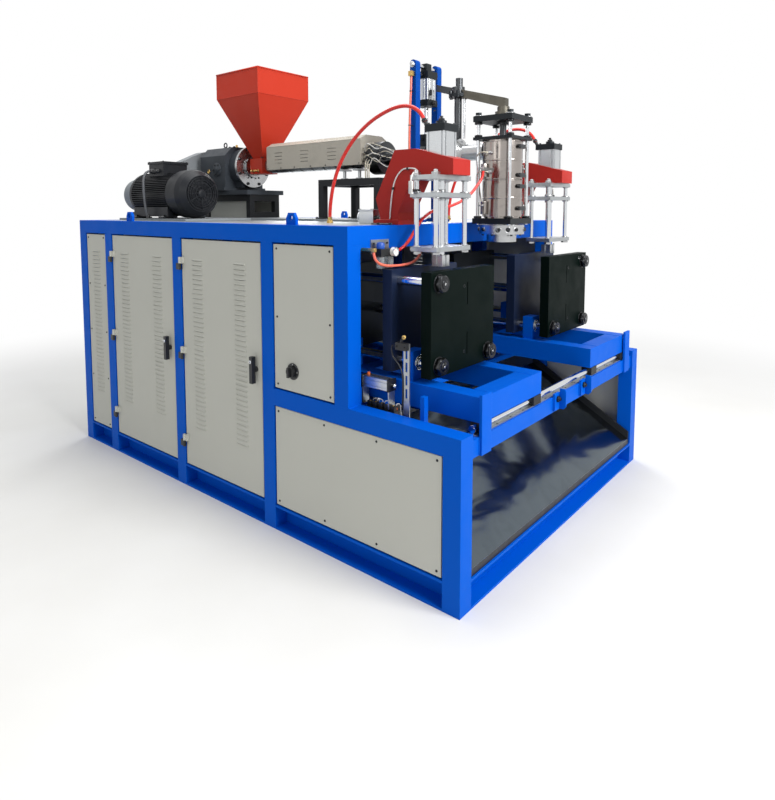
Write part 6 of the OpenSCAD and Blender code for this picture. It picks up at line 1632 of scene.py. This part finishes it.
# %% Junction box
DECK_TOP = 1.4501
box = Part()
box.block((0.640, -0.590, DECK_TOP), (0.730, -0.500, 1.5120), 0.004)
box.block((0.637, -0.593, 1.5120), (0.733, -0.497, 1.5200), 0.0025)
for x in (0.645, 0.725):
    for y in (-0.585, -0.505):
        box.button((x, y, 1.5200), (0, 0, 1), 0.005, 1)
box.rings([(0.0300, 0), (0.0300, 0.003), (0.0270, 0.005), (0.0270, 0.016), (0.0300, 0.018),
           (0.0300, 0.026), (0.0240, 0.028), (0.0240, 0.012), (0.0060, 0.012), (0.0050, 0.020)],
          (0.640, -0.545, 1.4830), (-1, 0, 0), 40, 2)
for y in (-0.570, -0.520):
    box.gland((0.730, y, 1.4800), (1, 0, 0), 0.016, 3)
print("box and glands have", len(box.bm.faces), "faces")

# %% [markdown]
# ## Deck cables
# Two grey cables leave the glands, bend down to the deck and run along both sides of the near arm's
# foot under small clips. Each is a tube on a soft curve that rests on the deck.

# %% Deck cables
box.tube(smooth([(0.748, -0.570, 1.4800), (0.756, -0.572, 1.4790), (0.764, -0.582, 1.4700),
                 (0.766, -0.600, 1.4570), (0.766, -0.640, 1.4540), (0.800, -0.655, 1.4540),
                 (0.900, -0.656, 1.4540)]), 0.0040, 10, 4)
box.tube(smooth([(0.748, -0.520, 1.4800), (0.755, -0.519, 1.4770), (0.758, -0.514, 1.4660),
                 (0.758, -0.495, 1.4550), (0.757, -0.450, 1.4540), (0.770, -0.436, 1.4540),
                 (0.900, -0.435, 1.4540)]), 0.0040, 10, 4)
for x in (0.820, 0.890):
    box.block((x - 0.005, -0.6640, DECK_TOP), (x + 0.005, -0.6480, 1.4600), 0.0015, 3)
    box.block((x - 0.005, -0.4430, DECK_TOP), (x + 0.005, -0.4270, 1.4600), 0.0015, 3)
box.done("junction_box", "base", "machined_steel", ALU, BOLT, CHROME, BLACK, GREY_CABLE)

# %% [markdown]
# ## Light
# The machine stands in a bright hall: the clamp end faces the light and its long side is in half
# shade. Large area lamps copy that, because small ones would give hard shadows and hot spots on the
# chrome. The level is plain, so a colour renders about as it is written.

# %% Lamps
def soft_light(name, place, target, size, power, colour=(1, 1, 1)):
    light = bpy.data.objects.new(name, bpy.data.lights.new(name, "AREA"))
    light.data.shape = "RECTANGLE"
    light.data.size, light.data.size_y = size
    light.data.energy = power
    light.data.color = colour
    light.location = place
    light.rotation_euler = (Vector(target) - Vector(place)).to_track_quat("-Z", "Y").to_euler()
    bpy.context.scene.collection.objects.link(light)


soft_light("key", (5.4, -0.6, 4.2), (0.6, 0, 1.0), (3.0, 3.0), 400)
soft_light("front_fill", (0.5, -5.5, 3.2), (0, 0, 1.0), (4.0, 2.5), 41, (1, 0.99, 0.97))
soft_light("top", (-0.5, 0.2, 5.2), (0, 0, 1.5), (4.5, 3.0), 150)
soft_light("rear_rim", (-3.5, 4.0, 3.5), (0, 0, 1.2), (3.0, 2.0), 110, (0.96, 0.98, 1))
print("lamps:", len(bpy.data.lights))

# %% [markdown]
# ## Floor
# The floor is smooth pale concrete. Near the machine it is an ordinary surface that takes the
# shadow. Further off it turns white for the rays that see it straight on, in a mirror or through the
# clear bowls, so that no grey horizon shows. A white floor all over would lose the shadow.

# %% Floor
NEAR, FAR = 2.2, 5.5          # m from the middle, where the floor starts and ends its fade to white
TROWEL, CLOUD = 33, 700       # mm from one trowel mark, and from one pale patch, to the next
SPAN = 30                     # m from the middle to the edge of the floor


def sees_background(tree):
    path = add(tree, "LightPath")
    seen = add(tree, "Math", {0: path.outputs["Is Camera Ray"], 1: path.outputs["Is Glossy Ray"]},
               operation="MAXIMUM")
    return add(tree, "Math", {0: seen.outputs[0], 1: path.outputs["Is Transmission Ray"]},
               operation="MAXIMUM").outputs[0]


concrete, tree = new_finish("pale_floor")
place = add(tree, "TexCoord").outputs["Object"]
trowel = add(tree, "TexNoise", {"Vector": place, "Scale": per_mm(TROWEL), "Detail": 3.0})
bump = add(tree, "Bump", {"Height": trowel.outputs["Fac"], "Strength": 0.03, "Distance": 0.002})
cloud = add(tree, "TexNoise", {"Vector": place, "Scale": per_mm(CLOUD), "Detail": 4.0}).outputs["Fac"]
tone = add(tree, "Mix", {0: cloud, 6: rgb("dedcd7"), 7: rgb("ecebe8")}, data_type="RGBA").outputs[2]
ground = add(tree, "BsdfPrincipled", {"Base Color": tone, "Roughness": 0.6, "Normal": bump.outputs[0]})
away = add(tree, "VectorMath", {0: place}, operation="LENGTH").outputs["Value"]
fade = add(tree, "MapRange", {"Value": away, "From Min": NEAR, "From Max": FAR},
           interpolation_type="SMOOTHSTEP")
white = add(tree, "Math", {0: fade.outputs[0], 1: sees_background(tree)}, operation="MULTIPLY")
glow = add(tree, "Emission", {"Color": (1, 1, 1, 1), "Strength": 1.0})
add(tree, "OutputMaterial", {"Surface": add(tree, "MixShader", {0: white.outputs[0], 1: ground.outputs[0],
                                                                2: glow.outputs[0]}).outputs[0]})
floor = bpy.data.objects.new("floor", bpy.data.meshes.new("floor"))
floor.data.from_pydata([(-SPAN, -SPAN, 0), (SPAN, -SPAN, 0), (SPAN, SPAN, 0), (-SPAN, SPAN, 0)], [],
                       [(0, 1, 2, 3)])
floor.data.materials.append(concrete)
bpy.context.scene.collection.objects.link(floor)
floor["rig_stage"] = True
print("floor fades to white from", NEAR, "to", FAR, "m")

# %% [markdown]
# ## Background
# The world is white for the same rays, and lights the scene with a dim bluish sky for all others. So
# the background is white without any light being added to the machine.

# %% World
world = bpy.data.worlds.new("studio")
bpy.context.scene.world = world
world.use_nodes = True
tree = world.node_tree
tree.nodes.clear()
sky = add(tree, "Background", {"Color": (0.80, 0.84, 0.90, 1), "Strength": 0.35})
backdrop = add(tree, "Background", {"Color": (1, 1, 1, 1), "Strength": 1.0})
add(tree, "OutputWorld", {"Surface": add(tree, "MixShader", {0: sees_background(tree), 1: sky.outputs[0],
                                                             2: backdrop.outputs[0]}).outputs[0]})
bpy.context.scene.view_settings.view_transform = "Standard"
print("sky strength", sky.inputs["Strength"].default_value)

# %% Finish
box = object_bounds()
print("size", [round(high - low, 3) for low, high in zip(*box)])
